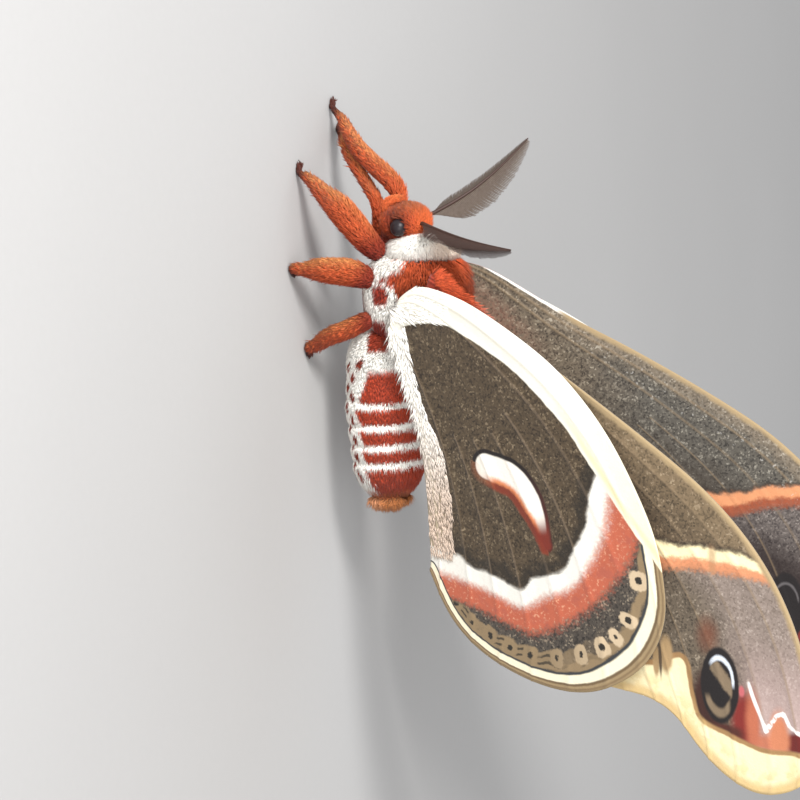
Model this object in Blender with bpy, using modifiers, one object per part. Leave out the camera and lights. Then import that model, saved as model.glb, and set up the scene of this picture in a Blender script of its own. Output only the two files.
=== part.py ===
"""Cecropia moth at life size, a male that stands with its wings folded up over its back.

+Z is up, -Y is the way the head points and +X is the moth's left side. The moth's own
measures are in millimetres from a point on the floor below the roots of its wings, and
place_on_origin moves the whole to the middle of its box.
"""

import math
import random

import bmesh
import bpy
from mathutils import Matrix, Vector

MM = 0.001
GAP = 0.3                      # between pieces that touch
LEFT, RIGHT = 1, -1
SEED = 11

# Body
THORAX_CENTRE = (0.0, 0.6, 12.8)
THORAX_RADII = (4.9, 5.7, 6.0)
THORAX_BOXINESS = 2.5
COLLAR_CENTRE = (0.0, -4.9, 13.9)
COLLAR_RADII = (3.6, 1.7, 4.1)
HEAD_CENTRE = (0.0, -8.2, 12.1)
HEAD_RADII = (2.5, 2.1, 2.8)
EYE_RADIUS = 1.05
EYE_CENTRE = (2.1, -7.7, 11.9)
PALP_RADIUS = 0.45
ABDOMEN_START, ABDOMEN_END = 4.4, 24.7
ABDOMEN_RADIUS = 5.1
ABDOMEN_SHOULDER, ABDOMEN_TAIL = 0.24, 0.30      # shares of its length over which it rounds off
ABDOMEN_HEIGHTS = ((4.4, 10.6), (9.0, 8.7), (14.0, 8.1), (19.0, 8.3), (24.7, 8.2))
SEGMENT_COUNT = 7
SEGMENT_SWELL = 0.17
CLASPER_SIDE, CLASPER_RADII = 1.15, (1.4, 1.25, 2.3)

# Coat of long scales on thorax and collar
LOCK_TIERS, FIRST_TIER, TIER_STEP = 5, -2.3, 1.45
LOCK_STEP = 21                       # degrees round the body from lock to lock
FRONT_REACH, BACK_REACH = 105, 54    # degrees from the top, in the first tier and the others
SIDE_SHORTER = 0.62
COLLAR_ROWS = ((-6.3, 11), (-5.5, 13))
COLLAR_REACH = 118
THORAX_LOCK = {"length": 3.3, "width": 2.0, "thick": 0.5, "lift": 0.75}
COLLAR_LOCK = {"length": 2.3, "width": 1.9, "thick": 0.5, "lift": 0.6}
LOCK_SINK = 0.7

# Antennae
ANTENNA_LENGTH = 16.2
RACHIS_ROOT, RACHIS_TIP = 0.42, 0.27
RAY_COUNT = 14
RAY_LONGEST = 2.9
RAY_THICK = 0.52
RAY_LEAN = 0.3                       # of its length that a ray's tip runs on towards the tip
COMB_OPENING = math.radians(62)      # each row of rays leans this far from the comb's middle
ANTENNAE = {                         # root, way of the stalk, way that the comb faces and bend
    "antenna_left": ((1.15, -8.3, 13.9), (7.9, 2.9, 13.9), (0.27, 0.9, -0.34), 0.4),
    "antenna_right": ((-1.15, -8.5, 13.9), (-8.6, -8.5, 10.7), (-0.81, 0.58, 0.05), 1.4),
}

# Legs: hip, knee, ankle and foot, with the radius of leg and coat at each
FOOT_LENGTH = 1.0                    # of each leg's last stretch, which lies on the floor
LEGS = {
    "leg_fore_left": ((1.6, -3.9, 9.8, 0.95), (3.4, -6.4, 8.2, 1.45), (4.7, -9.8, 6.0, 1.6),
                      (4.7, -12.0, 3.8, 1.05), (4.2, -13.8, 1.8, 0.58), (3.5, -15.6, 0.35, 0.42)),
    "leg_mid_left": ((3.2, -1.4, 9.0, 0.95), (5.0, -2.6, 7.0, 1.5), (6.9, -3.3, 4.2, 1.35),
                     (7.7, -3.5, 2.1, 0.75), (7.2, -3.0, 0.35, 0.42)),
    "leg_hind_left": ((2.8, 2.4, 9.2, 0.9), (4.2, 3.9, 5.9, 1.0), (4.7, 4.8, 3.5, 0.9),
                      (4.5, 5.8, 1.6, 0.65), (3.9, 7.1, 0.35, 0.42)),
    "leg_fore_right": ((-1.7, -3.4, 9.8, 1.0), (-3.4, -6.0, 8.6, 0.85), (-4.3, -9.3, 9.7, 0.75),
                       (-4.3, -12.3, 9.2, 1.05), (-4.4, -16.6, 5.1, 0.95), (-6.6, -20.2, 2.2, 0.55),
                       (-8.6, -22.6, 0.35, 0.42)),
    "leg_mid_right": ((-3.5, -1.5, 8.6, 1.0), (-6.4, -5.4, 6.5, 0.9), (-4.4, -9.6, 7.0, 0.66),
                      (-4.6, -12.4, 5.7, 0.62), (-5.2, -15.7, 3.5, 0.56), (-8.0, -18.0, 1.5, 0.45),
                      (-10.7, -19.6, 0.35, 0.42)),
    "leg_hind_right": ((-3.0, 2.6, 8.8, 1.1), (-7.3, 7.8, 6.6, 1.1), (-10.6, 14.0, 4.0, 0.85),
                       (-12.2, 20.2, 1.6, 0.55), (-13.0, 24.5, 0.35, 0.42)),
}

# Wings: places on a wing are (back along the body, up the wing) from its hinge line
WING_LEAN = math.radians(18)         # each pair leans out this far from upright
HINGE_HEIGHT = 12.0
FOREWING_OUT, HINDWING_OUT = 4.4, 6.0
WING_HALF_THICK = 0.26
MARGIN_HALF_THICK, THINS_FROM = 0.15, 0.5        # it thins out from here to the margin
VEIN_RIDGE = 0.2
VEIN_HALF_WIDTH = 0.011              # as a share of the way across the wing
VEIN_RISE = 0.08                     # of the way along it, over which a vein comes up
WING_CAMBER, CAMBER_SPAN = 1.4, 54.0
ROWS_ALONG_WING = 11
ROOM_SCALE = 1.02                    # of the room that a wing takes in the coat round its root
STUB_RADIUS = 0.95
RIGHT_HINDWING_TURN = 0.065          # radians that it is swung back, further than the left one

FOREWING = {
    "costa": ((-2.6, 5.6), (-2.3, 7.4), (0.7, 11.9), (5.0, 18.2), (8.6, 24.4), (15.0, 34.4),
              (21.0, 42.4), (28.0, 48.4), (36.4, 52.2), (46.7, 54.0), (50.6, 53.4)),
    "outer": ((50.6, 53.4), (52.6, 51.2), (53.6, 47.0), (52.0, 43.0), (49.2, 39.8), (46.0, 37.2),
              (44.2, 34.0), (43.6, 29.6), (43.0, 25.0), (41.2, 20.6)),
    "inner": ((1.6, 3.3), (9.0, 6.2), (20.0, 10.6), (31.0, 14.8), (38.0, 17.8), (41.2, 20.6)),
    "stub": (-0.2, 5.0),
    "stub_inner": (1.9, -0.3, 16.7),
    "veins": ((0.07, 0.0), (0.16, 0.0), (0.27, 0.42), (0.38, 0.44), (0.50, 0.44), (0.61, 0.42),
              (0.72, 0.0), (0.93, 0.0)),
}
HINDWING = {
    "costa": ((0.2, 1.2), (-1.4, 3.7), (-0.8, 7.5), (0.6, 11.9), (4.3, 18.9), (8.0, 24.2),
              (13.4, 29.2), (19.3, 32.8), (26.5, 35.9), (33.5, 36.8)),
    "outer": ((33.5, 36.8), (37.0, 35.8), (40.0, 33.8), (42.1, 31.1), (43.9, 27.1), (44.3, 22.3),
              (43.3, 16.6), (41.0, 10.8), (37.4, 6.5), (32.3, 3.7)),
    "inner": ((4.0, -0.8), (6.0, -0.4), (9.8, 1.4), (15.6, 3.0), (22.0, 3.8), (30.4, 4.0),
              (32.3, 3.7)),
    "stub": (3.0, 1.2),
    "stub_inner": (1.9, 3.2, 14.1),
    "veins": ((0.08, 0.0), (0.19, 0.0), (0.31, 0.40), (0.43, 0.42), (0.55, 0.42), (0.66, 0.40),
              (0.77, 0.0), (0.93, 0.0)),
}

BOX_MIDDLE = (0.0, 15.36)        # of the finished moth, seen from above

COLOURS = {
    "thorax": (0.50, 0.06, 0.03), "collar": (0.90, 0.86, 0.76), "head": (0.52, 0.10, 0.04),
    "eye": (0.02, 0.012, 0.012), "abdomen": (0.55, 0.14, 0.08), "claspers": (0.55, 0.25, 0.11),
    "leg": (0.60, 0.13, 0.05), "antenna": (0.13, 0.07, 0.04),
    "forewing": (0.16, 0.13, 0.10), "hindwing": (0.15, 0.12, 0.09),
}


def mm(point):
    return Vector(point) * MM


def material(name, roughness=0.8):
    """The material of one kind of sub-part, made once."""
    found = bpy.data.materials.get(name)
    if found:
        return found
    made = bpy.data.materials.new(name)
    made.use_nodes = True
    shader = made.node_tree.nodes["Principled BSDF"]
    shader.inputs["Base Color"].default_value = (*COLOURS[name], 1.0)
    shader.inputs["Roughness"].default_value = roughness
    return made


def add_object(name, mesh, collection):
    thing = bpy.data.objects.new(name, mesh)
    collection.objects.link(thing)
    return thing


def from_bmesh(name, bm, collection):
    """A new object whose faces all point out."""
    bmesh.ops.recalc_face_normals(bm, faces=bm.faces)
    if bm.calc_volume(signed=True) < 0:
        bmesh.ops.reverse_faces(bm, faces=bm.faces)
    mesh = bpy.data.meshes.new(name)
    bm.to_mesh(mesh)
    bm.free()
    return add_object(name, mesh, collection)


def evaluated_mesh(thing):
    bpy.context.view_layer.update()
    graph = bpy.context.evaluated_depsgraph_get()
    return bpy.data.meshes.new_from_object(thing.evaluated_get(graph))


def largest_surface(mesh):
    """Drops all but the largest closed surface of a mesh."""
    bm = bmesh.new()
    bm.from_mesh(mesh)
    unseen = set(bm.verts)
    shells = []
    while unseen:
        shell, edge_of_search = set(), [unseen.pop()]
        while edge_of_search:
            vertex = edge_of_search.pop()
            shell.add(vertex)
            near = {edge.other_vert(vertex) for edge in vertex.link_edges} & unseen
            unseen -= near
            edge_of_search.extend(near)
        shells.append(shell)
    areas = [sum(face.calc_area() for v in shell for face in v.link_faces) for shell in shells]
    keep = shells[areas.index(max(areas))]
    loose = [v for shell in shells if shell is not keep for v in shell]
    bmesh.ops.delete(bm, geom=loose, context="VERTS")
    bm.to_mesh(mesh)
    bm.free()


def boolean(thing, others, operation, solver="EXACT"):
    """Joins or cuts an object by all of the others at once, which are then removed."""
    tools = bpy.data.collections.new(thing.name + "_tools")
    bpy.context.scene.collection.children.link(tools)
    for other in others:
        for holder in list(other.users_collection):
            holder.objects.unlink(other)
        tools.objects.link(other)
    step = thing.modifiers.new(operation.title(), "BOOLEAN")
    step.operation = operation
    step.operand_type = "COLLECTION"
    step.collection = tools
    step.solver = solver
    result = evaluated_mesh(thing)
    thing.modifiers.remove(step)
    for other in others:
        bpy.data.objects.remove(other)
    bpy.data.collections.remove(tools)
    largest_surface(result)
    thing.data = result
    return thing


def ball(name, centre, radii, collection, across=24, rings=14, boxiness=2.0):
    """A sphere stretched to three radii, fuller at its corners where boxiness is over 2."""
    bm = bmesh.new()
    bmesh.ops.create_uvsphere(bm, u_segments=across, v_segments=rings, radius=1.0)
    bmesh.ops.rotate(bm, verts=bm.verts, matrix=Matrix.Rotation(math.pi / 2, 3, "X"))
    for vertex in bm.verts:
        unit = vertex.co.normalized()
        size = sum(abs(part) ** boxiness for part in unit) ** (1 / boxiness)
        shape = unit / size
        vertex.co = mm(Vector(shape[i] * radii[i] + centre[i] for i in range(3)))
    return from_bmesh(name, bm, collection)


def grown_copy(thing, amount, collection):
    """A copy of a smooth body, larger by the amount all round, to cut its neighbours with."""
    mesh = thing.data.copy()
    normals = [vertex.normal.copy() for vertex in mesh.vertices]
    for vertex, normal in zip(mesh.vertices, normals):
        vertex.co += normal * amount * MM
    return add_object(thing.name + "_grown", mesh, collection)


def tube(name, stations, collection, sides_level=2, smooth=6):
    """A closed round tube through stations of (x, y, z, radius), from a curve with filled caps."""
    curve = bpy.data.curves.new(name, "CURVE")
    curve.dimensions = "3D"
    curve.bevel_depth = MM
    curve.bevel_resolution = sides_level
    curve.use_fill_caps = True
    points = smooth_line(stations, smooth)
    spline = curve.splines.new("POLY")
    spline.points.add(len(points) - 1)
    for point, place in zip(spline.points, points):
        point.co = (place[0] * MM, place[1] * MM, place[2] * MM, 1.0)
        point.radius = place[3]
    guide = add_object(name + "_curve", curve, collection)
    mesh = evaluated_mesh(guide)
    bpy.data.objects.remove(guide)
    bm = bmesh.new()
    bm.from_mesh(mesh)
    bmesh.ops.remove_doubles(bm, verts=bm.verts, dist=MM * 0.001)
    return from_bmesh(name, bm, collection)


def smooth_line(points, count):
    """Evenly spaced points, count in all, on a smooth curve through the given ones."""
    dense = []
    last = len(points) - 1
    for i in range(last):
        before, here = points[max(i - 1, 0)], points[i]
        there, after = points[i + 1], points[min(i + 2, last)]
        for step in range(24):
            t = step / 24
            dense.append(tuple(
                0.5 * (2 * b + (c - a) * t + (2 * a - 5 * b + 4 * c - d) * t * t
                       + (3 * b - a - 3 * c + d) * t ** 3)
                for a, b, c, d in zip(before, here, there, after)))
    dense.append(tuple(points[-1]))
    travelled = [0.0]
    for one, two in zip(dense, dense[1:]):
        travelled.append(travelled[-1] + math.dist(one, two))
    line = []
    at = 0
    for k in range(count):
        goal = travelled[-1] * k / (count - 1)
        while at < len(dense) - 2 and travelled[at + 1] < goal:
            at += 1
        share = (goal - travelled[at]) / max(travelled[at + 1] - travelled[at], 1e-9)
        line.append(tuple(a + (b - a) * share for a, b in zip(dense[at], dense[at + 1])))
    return line


def lock(name, root, out, along, size, collection):
    """One flat, tapered lock that leaves the body, bends over and lies along its coat."""
    out, along = out.normalized(), along.normalized()
    along = (along - out * along.dot(out)).normalized()
    side = out.cross(along)
    stations = ((-0.22, -LOCK_SINK, 0.62), (0.2, size["lift"] * 0.5, 1.0), (0.68, size["lift"], 0.78))
    bm = bmesh.new()
    rings = []
    for reach, height, share in stations:
        middle = root + along * reach * size["length"] + out * height
        wide = side * size["width"] * share / 2
        thick = out * size["thick"] * (0.5 + 0.5 * share) / 2
        rings.append([bm.verts.new(p * MM) for p in
                      (middle + wide, middle + thick, middle - wide, middle - thick)])
    tip = bm.verts.new((root + along * size["length"] + out * size["lift"] * 0.95) * MM)
    bm.faces.new(rings[0])
    for one, two in zip(rings, rings[1:]):
        for k in range(4):
            bm.faces.new((one[k], one[(k + 1) % 4], two[(k + 1) % 4], two[k]))
    for k in range(4):
        bm.faces.new((rings[-1][k], rings[-1][(k + 1) % 4], tip))
    return from_bmesh(name, bm, collection)


def wing_axes(side):
    """Back along the body, up the wing, and out from its face."""
    back = Vector((0, 1, 0))
    up = Vector((side * math.sin(WING_LEAN), 0, math.cos(WING_LEAN)))
    out = Vector((side * math.cos(WING_LEAN), 0, -math.sin(WING_LEAN)))
    return back, up, out


def on_wing(place, side, out_at_hinge, lift=0.0):
    """The point at a place on a wing's middle surface, moved out from its face by lift."""
    back, up, out = wing_axes(side)
    hinge = Vector((side * out_at_hinge, 0, HINGE_HEIGHT))
    camber = WING_CAMBER * math.sin(math.pi * min(max(place[1] / CAMBER_SPAN, 0), 1))
    return hinge + back * place[0] + up * place[1] + out * (camber + lift)


def wing_lines(veins):
    """Where the surface's lines lie across the wing: three to each vein, two at its edges."""
    lines = [(0.0, None), (0.035, None)]
    for k, (place, start) in enumerate(veins):
        lines += [(place - VEIN_HALF_WIDTH, None), (place, start), (place + VEIN_HALF_WIDTH, None)]
    return lines + [(1.0, None)]


def blend_patch(costa, outer, inner, s, t):
    """A place inside the outline, from its four edges: s runs outwards, t back from the costa."""
    def pick(line, share):
        at = share * (len(line) - 1)
        k = min(int(at), len(line) - 2)
        return [a + (b - a) * (at - k) for a, b in zip(line[k], line[k + 1])]

    front, rear, margin = pick(costa, s), pick(inner, s), pick(outer, t)
    root = [a + (b - a) * t for a, b in zip(costa[0], inner[0])]
    corners = (costa[0], inner[0], costa[-1], inner[-1])
    return tuple(
        (1 - t) * front[i] + t * rear[i] + (1 - s) * root[i] + s * margin[i]
        - (1 - s) * (1 - t) * corners[0][i] - (1 - s) * t * corners[1][i]
        - s * (1 - t) * corners[2][i] - s * t * corners[3][i]
        for i in range(2))


def swung(shape, angle):
    """A wing's outline turned back about its hinge."""
    cos, sin = math.cos(angle), math.sin(angle)
    turned = {edge: tuple((a * cos + b * sin, b * cos - a * sin) for a, b in shape[edge])
              for edge in ("costa", "outer", "inner")}
    return {**shape, **turned}


def roomier(shape):
    """A wing's outline a little larger all round, for the room that it takes in the coat."""
    edges = ("costa", "outer", "inner")
    places = [place for edge in edges for place in shape[edge]]
    middle = [sum(place[i] for place in places) / len(places) for i in range(2)]
    grown = {edge: tuple(tuple(m + (v - m) * ROOM_SCALE for v, m in zip(place, middle))
                         for place in shape[edge]) for edge in edges}
    return {**shape, **grown}


def wing_sheet(name, shape, side, out_at_hinge, collection, extra=0.0):
    """The membrane as one thin solid, its veins raised on both faces, split alike on both."""
    costa, outer, inner = (smooth_line(shape[edge], 60) for edge in ("costa", "outer", "inner"))
    lines = wing_lines(shape["veins"])
    bm = bmesh.new()
    faces = {}
    for face in (LEFT, RIGHT):
        grid = []
        for row in range(ROWS_ALONG_WING):
            s = row / (ROWS_ALONG_WING - 1)
            thin = max(s - THINS_FROM, 0.0) / (1 - THINS_FROM)
            half = WING_HALF_THICK + (MARGIN_HALF_THICK - WING_HALF_THICK) * thin
            ring = []
            for t, vein_start in lines:
                ridge = 0.0
                if vein_start is not None:
                    rise = (s - vein_start) / VEIN_RISE if vein_start else 1.0
                    ridge = VEIN_RIDGE * min(max(rise, 0.0), 1.0)
                place = blend_patch(costa, outer, inner, s, t)
                lift = face * (half + ridge + extra)
                ring.append(bm.verts.new(on_wing(place, side, out_at_hinge, lift) * MM))
            grid.append(ring)
        faces[face] = grid
    top, bottom = faces[LEFT], faces[RIGHT]
    last_row, last_line = len(top) - 1, len(lines) - 1
    for r in range(last_row):
        for c in range(last_line):
            for grid in (top, bottom):
                a, b, d, e = grid[r][c], grid[r][c + 1], grid[r + 1][c + 1], grid[r + 1][c]
                bm.faces.new((a, b, d))
                bm.faces.new((a, d, e))
    rim = [(0, c) for c in range(last_line)] + [(r, last_line) for r in range(last_row)]
    rim += [(last_row, c) for c in range(last_line, 0, -1)] + [(r, 0) for r in range(last_row, 0, -1)]
    for one, two in zip(rim, rim[1:] + rim[:1]):
        bm.faces.new((top[one[0]][one[1]], top[two[0]][two[1]],
                      bottom[two[0]][two[1]], bottom[one[0]][one[1]]))
    return from_bmesh(name, bm, collection)


def rod(name, start, end, radius, collection, sides=12):
    """A plain round rod between two points."""
    start, end = Vector(start), Vector(end)
    bm = bmesh.new()
    bmesh.ops.create_cone(bm, cap_ends=True, segments=sides, radius1=radius * MM,
                          radius2=radius * MM, depth=(end - start).length * MM)
    turn = (end - start).to_track_quat("Z", "Y").to_matrix().to_4x4()
    bm.transform(Matrix.Translation((start + end) / 2 * MM) @ turn)
    return from_bmesh(name, bm, collection)


def stub_ends(shape, side, out_at_hinge):
    x, y, z = shape["stub_inner"]
    return Vector((side * x, y, z)), on_wing(shape["stub"], side, out_at_hinge)


def wing(name, shape, side, out_at_hinge, collection):
    """A wing with the stub of its root, which sits in a socket of the thorax."""
    sheet = wing_sheet(name, shape, side, out_at_hinge, collection)
    start, end = stub_ends(shape, side, out_at_hinge)
    root = rod(name + "_stub", start, end, STUB_RADIUS, collection)
    return boolean(sheet, [root], "UNION")


def socket(name, shape, side, out_at_hinge, collection):
    """The room that a wing's stub takes in the thorax, with the gap round it."""
    start, end = stub_ends(shape, side, out_at_hinge)
    way = (end - start).normalized()
    return rod(name, start - way * GAP, end + way * STUB_RADIUS, STUB_RADIUS + GAP, collection)


def thorax_locks(collection):
    """Tiers of locks over the back and sides, lying backwards, clear of the wings' roots."""
    draw = random.Random(SEED)
    found = []
    for tier in range(LOCK_TIERS):
        y = FIRST_TIER + TIER_STEP * tier
        reach = FRONT_REACH if tier == 0 else BACK_REACH
        turn = -reach + (tier % 2) * LOCK_STEP / 2
        while turn <= reach:
            angle = math.radians(turn + draw.uniform(-3, 3))
            spot, out = thorax_surface(angle, y + draw.uniform(-0.2, 0.2))
            along = Vector((0.12 * math.sin(angle) * draw.uniform(-1, 1), 1, 0))
            size = dict(THORAX_LOCK, length=THORAX_LOCK["length"] * draw.uniform(0.88, 1.1))
            if abs(turn) > BACK_REACH:
                size["length"] *= SIDE_SHORTER
            found.append(lock("thorax_lock", spot, out, along, size, collection))
            turn += LOCK_STEP
    return found


def thorax_surface(angle, y):
    """The core's point at an angle from its top, and the way out of it."""
    p = THORAX_BOXINESS
    rx, ry, rz = THORAX_RADII
    slack = max(1 - abs((y - THORAX_CENTRE[1]) / ry) ** p, 0.02)
    ux, uz = math.sin(angle), math.cos(angle)
    size = (slack / (abs(ux / rx) ** p + abs(uz / rz) ** p)) ** (1 / p)
    offset = Vector((ux * size, y - THORAX_CENTRE[1], uz * size))
    out = Vector(math.copysign(abs(part / r) ** (p - 1) / r, part)
                 for part, r in zip(offset, THORAX_RADII))
    return Vector(THORAX_CENTRE) + offset, out.normalized()


def collar_locks(collection):
    """The ruff: two rows of locks round the neck, the rear ones laid back over the thorax."""
    draw = random.Random(SEED + 1)
    found = []
    for row, (y, count) in enumerate(COLLAR_ROWS):
        for k in range(count):
            share = (k + 0.5 * (row % 2)) / (count - 0.5)
            angle = math.radians(COLLAR_REACH * (2 * share - 1))
            across, high = COLLAR_RADII[0] * 0.93, COLLAR_RADII[2] * 0.93
            spot = Vector((math.sin(angle) * across, y, COLLAR_CENTRE[2] + math.cos(angle) * high))
            out = Vector((math.sin(angle) / across, -0.06, math.cos(angle) / high))
            size = dict(COLLAR_LOCK, length=COLLAR_LOCK["length"] * draw.uniform(0.85, 1.0))
            found.append(lock("collar_lock", spot, out, Vector((0, 1, 0)), size, collection))
    return found


def abdomen(collection):
    """A turned body of swollen segments, sunk at its middle line to hang as the moth's does."""
    half = 28
    bm = bmesh.new()
    last = None
    for k in range(half + 1):
        share = k / half
        rise = max(1 - share / ABDOMEN_SHOULDER, 0.0)
        fall = max(1 - (1 - share) / ABDOMEN_TAIL, 0.0)
        shape = math.sqrt(1 - rise * rise) * (1 - fall ** 3.2) ** 0.5
        swell = SEGMENT_SWELL * abs(math.sin(math.pi * share * SEGMENT_COUNT)) ** 0.7
        radius = max(ABDOMEN_RADIUS * shape * (1 - 0.14 * share) - SEGMENT_SWELL + swell, 0.0)
        if k in (0, half):
            radius = 0.0
        along = ABDOMEN_START + (ABDOMEN_END - ABDOMEN_START) * share
        vertex = bm.verts.new((radius * MM, 0, -along * MM))
        if last:
            bm.edges.new((last, vertex))
        last = vertex
    mesh = bpy.data.meshes.new("abdomen")
    bm.to_mesh(mesh)
    bm.free()
    thing = add_object("abdomen", mesh, collection)
    turned = thing.modifiers.new("Turn", "SCREW")
    turned.axis = "Z"
    turned.steps = turned.render_steps = 16
    turned.use_merge_vertices = True
    turned.merge_threshold = 0.00001
    solid = evaluated_mesh(thing)
    bpy.data.objects.remove(thing)
    for vertex in solid.vertices:
        x, side, depth = vertex.co
        along = -depth / MM
        vertex.co = (x, along * MM, side + middle_height(along) * MM)
    bm = bmesh.new()
    bm.from_mesh(solid)
    return from_bmesh("abdomen", bm, collection)


def middle_height(along):
    """The height of the abdomen's middle line."""
    stations = ABDOMEN_HEIGHTS
    for one, two in zip(stations, stations[1:]):
        if along <= two[0]:
            share = max((along - one[0]) / (two[0] - one[0]), 0.0)
            share = share * share * (3 - 2 * share)
            return one[1] + (two[1] - one[1]) * share
    return stations[-1][1]


def leg(name, stations, collection):
    """One leg with its coat, bent at its joints, its foot laid flat on the floor."""
    ankle, foot = Vector(stations[-2][:3]), Vector(stations[-1][:3])
    heel = foot + Vector((*(ankle - foot).xy, 0)).normalized() * FOOT_LENGTH
    stations = (*stations[:-1], (*heel, stations[-1][3]), stations[-1])
    made = tube(name, stations, collection, smooth=4 * len(stations))
    for vertex in made.data.vertices:
        vertex.co.z = max(vertex.co.z, 0.0)
    return made


def antenna(name, root, way, comb, bend, collection):
    """A tapered stalk with two rows of rays, opened like a shallow trough."""
    way, comb = way.normalized(), comb.normalized()
    comb = (comb - way * comb.dot(way)).normalized()
    side = way.cross(comb)
    stations = []
    for k in range(6):
        share = k / 5
        place = root + way * ANTENNA_LENGTH * share + comb * bend * math.sin(math.pi * share)
        stations.append((*place, RACHIS_ROOT + (RACHIS_TIP - RACHIS_ROOT) * share))
    stalk = tube(name, stations, collection, smooth=12)
    rays = []
    line = smooth_line(stations, RAY_COUNT + 4)[3:-1]
    for k, place in enumerate(line):
        share = (k + 0.5) / len(line)
        length = RAY_LONGEST * math.sin(math.pi * share ** 0.72) ** 0.6 * (1 - 0.35 * share)
        for hand in (LEFT, RIGHT):
            lean = comb * math.cos(COMB_OPENING) + side * hand * math.sin(COMB_OPENING)
            rays.append(ray(Vector(place[:3]), lean, way, length, collection))
    return boolean(stalk, rays, "UNION")


def ray(root, out, way, length, collection):
    """One ray of the comb: it leaves the stalk's middle and tapers as it bends to the tip."""
    across = out.cross(way).normalized()
    bm = bmesh.new()
    rings = []
    for reach, share in ((0.0, 1.0), (0.5, 0.95), (0.86, 0.75)):
        middle = root + out * length * reach + way * length * RAY_LEAN * reach * reach
        half = RAY_THICK / 2 * share
        rings.append([bm.verts.new((middle + a * half) * MM) for a in (way, across, -way, -across)])
    tip = bm.verts.new((root + out * length + way * length * RAY_LEAN) * MM)
    bm.faces.new(rings[0])
    for one, two in zip(rings, rings[1:]):
        for k in range(4):
            bm.faces.new((one[k], one[(k + 1) % 4], two[(k + 1) % 4], two[k]))
    for k in range(4):
        bm.faces.new((rings[-1][k], rings[-1][(k + 1) % 4], tip))
    return from_bmesh("ray", bm, collection)


def finish(thing, name, colour, pivot):
    """Names an object, gives it its material and moves its origin to where it joins the body."""
    thing.name = name
    thing.data.name = name
    thing.data.materials.clear()
    thing.data.materials.append(material(colour))
    point = mm(pivot)
    thing.data.transform(Matrix.Translation(-point))
    thing.location = point
    thing.data.shade_smooth()
    thing.data.set_sharp_from_angle(angle=math.radians(50))
    return thing


def build():
    for old in list(bpy.data.objects):
        bpy.data.objects.remove(old)
    parts = bpy.data.collections.new("cecropia_moth")
    cutters = bpy.data.collections.new("cutters")
    for group in (parts, cutters):
        bpy.context.scene.collection.children.link(group)
    finished = []

    thorax = ball("thorax", THORAX_CENTRE, THORAX_RADII, parts, 24, 14, THORAX_BOXINESS)
    thorax_room = grown_copy(thorax, GAP, cutters)
    collar = ball("collar", COLLAR_CENTRE, COLLAR_RADII, parts, 20, 10)
    collar_room = grown_copy(collar, GAP, cutters)
    boolean(thorax, thorax_locks(cutters), "UNION")
    sockets = []
    hindwings = {LEFT: HINDWING, RIGHT: swung(HINDWING, RIGHT_HINDWING_TURN)}
    for side in (LEFT, RIGHT):
        sockets.append(socket("socket", FOREWING, side, FOREWING_OUT, cutters))
        sockets.append(socket("socket", HINDWING, side, HINDWING_OUT, cutters))
        sockets.append(wing_sheet("wing_room", roomier(FOREWING), side, FOREWING_OUT, cutters, GAP))
    boolean(thorax, sockets, "DIFFERENCE")
    finished.append(finish(thorax, "thorax", "thorax", THORAX_CENTRE))

    head = ball("head", HEAD_CENTRE, HEAD_RADII, parts, 22, 14)
    head_room = grown_copy(head, GAP, cutters)
    boolean(collar, collar_locks(cutters), "UNION")
    boolean(collar, [copy_of(thorax_room, cutters)], "DIFFERENCE")
    finished.append(finish(collar, "collar", "collar", COLLAR_CENTRE))

    palps = [tube("palp", palp_line(side), cutters, smooth=6) for side in (LEFT, RIGHT)]
    boolean(head, palps, "UNION")
    eye_rooms = []
    for side, name in ((LEFT, "eye_left"), (RIGHT, "eye_right")):
        centre = (side * EYE_CENTRE[0], *EYE_CENTRE[1:])
        radii = (EYE_RADIUS,) * 3
        eye_rooms.append(ball("eye_room", centre, [EYE_RADIUS + GAP] * 3, cutters, 16, 10))
        finished.append(finish(ball(name, centre, radii, parts, 16, 10), name, "eye", centre))
    boolean(head, eye_rooms + [copy_of(collar_room, cutters)], "DIFFERENCE")
    finished.append(finish(head, "head", "head", HEAD_CENTRE))

    belly = abdomen(parts)
    claspers = clasper_pair(parts)
    belly_room = grown_copy(belly, GAP, cutters)
    boolean(claspers, [belly_room], "DIFFERENCE", "MANIFOLD")
    boolean(belly, [copy_of(thorax_room, cutters)], "DIFFERENCE")
    for made, name, y in ((belly, "abdomen", ABDOMEN_START), (claspers, "claspers", ABDOMEN_END)):
        finished.append(finish(made, name, name, (0, y, middle_height(y))))

    for name, stations in LEGS.items():
        made = leg(name, stations, parts)
        rooms = [copy_of(room, cutters) for room in (thorax_room, collar_room, head_room)]
        boolean(made, rooms, "DIFFERENCE")
        finished.append(finish(made, name, "leg", stations[0][:3]))

    for name, (root, way, comb, bend) in ANTENNAE.items():
        made = antenna(name, Vector(root), Vector(way), Vector(comb), bend, parts)
        boolean(made, [copy_of(head_room, cutters)], "DIFFERENCE")
        finished.append(finish(made, name, "antenna", root))
    for room in (head_room, collar_room, thorax_room):
        bpy.data.objects.remove(room)

    for side, hand in ((LEFT, "_left"), (RIGHT, "_right")):
        wings = ((FOREWING, "forewing", FOREWING_OUT), (hindwings[side], "hindwing", HINDWING_OUT))
        for shape, kind, out in wings:
            made = wing(kind + hand, shape, side, out, parts)
            finished.append(finish(made, kind + hand, kind, stub_ends(shape, side, out)[1]))
    place_on_origin(finished, parts)


def palp_line(side):
    x, y, z = HEAD_CENTRE
    return ((side * 0.6, y - 1.0, z - 1.9, 0.4), (side * 0.65, y - 1.9, z - 2.2, PALP_RADIUS),
            (side * 0.6, y - 2.5, z - 1.6, 0.38), (side * 0.55, y - 2.7, z - 0.9, 0.2))


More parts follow.
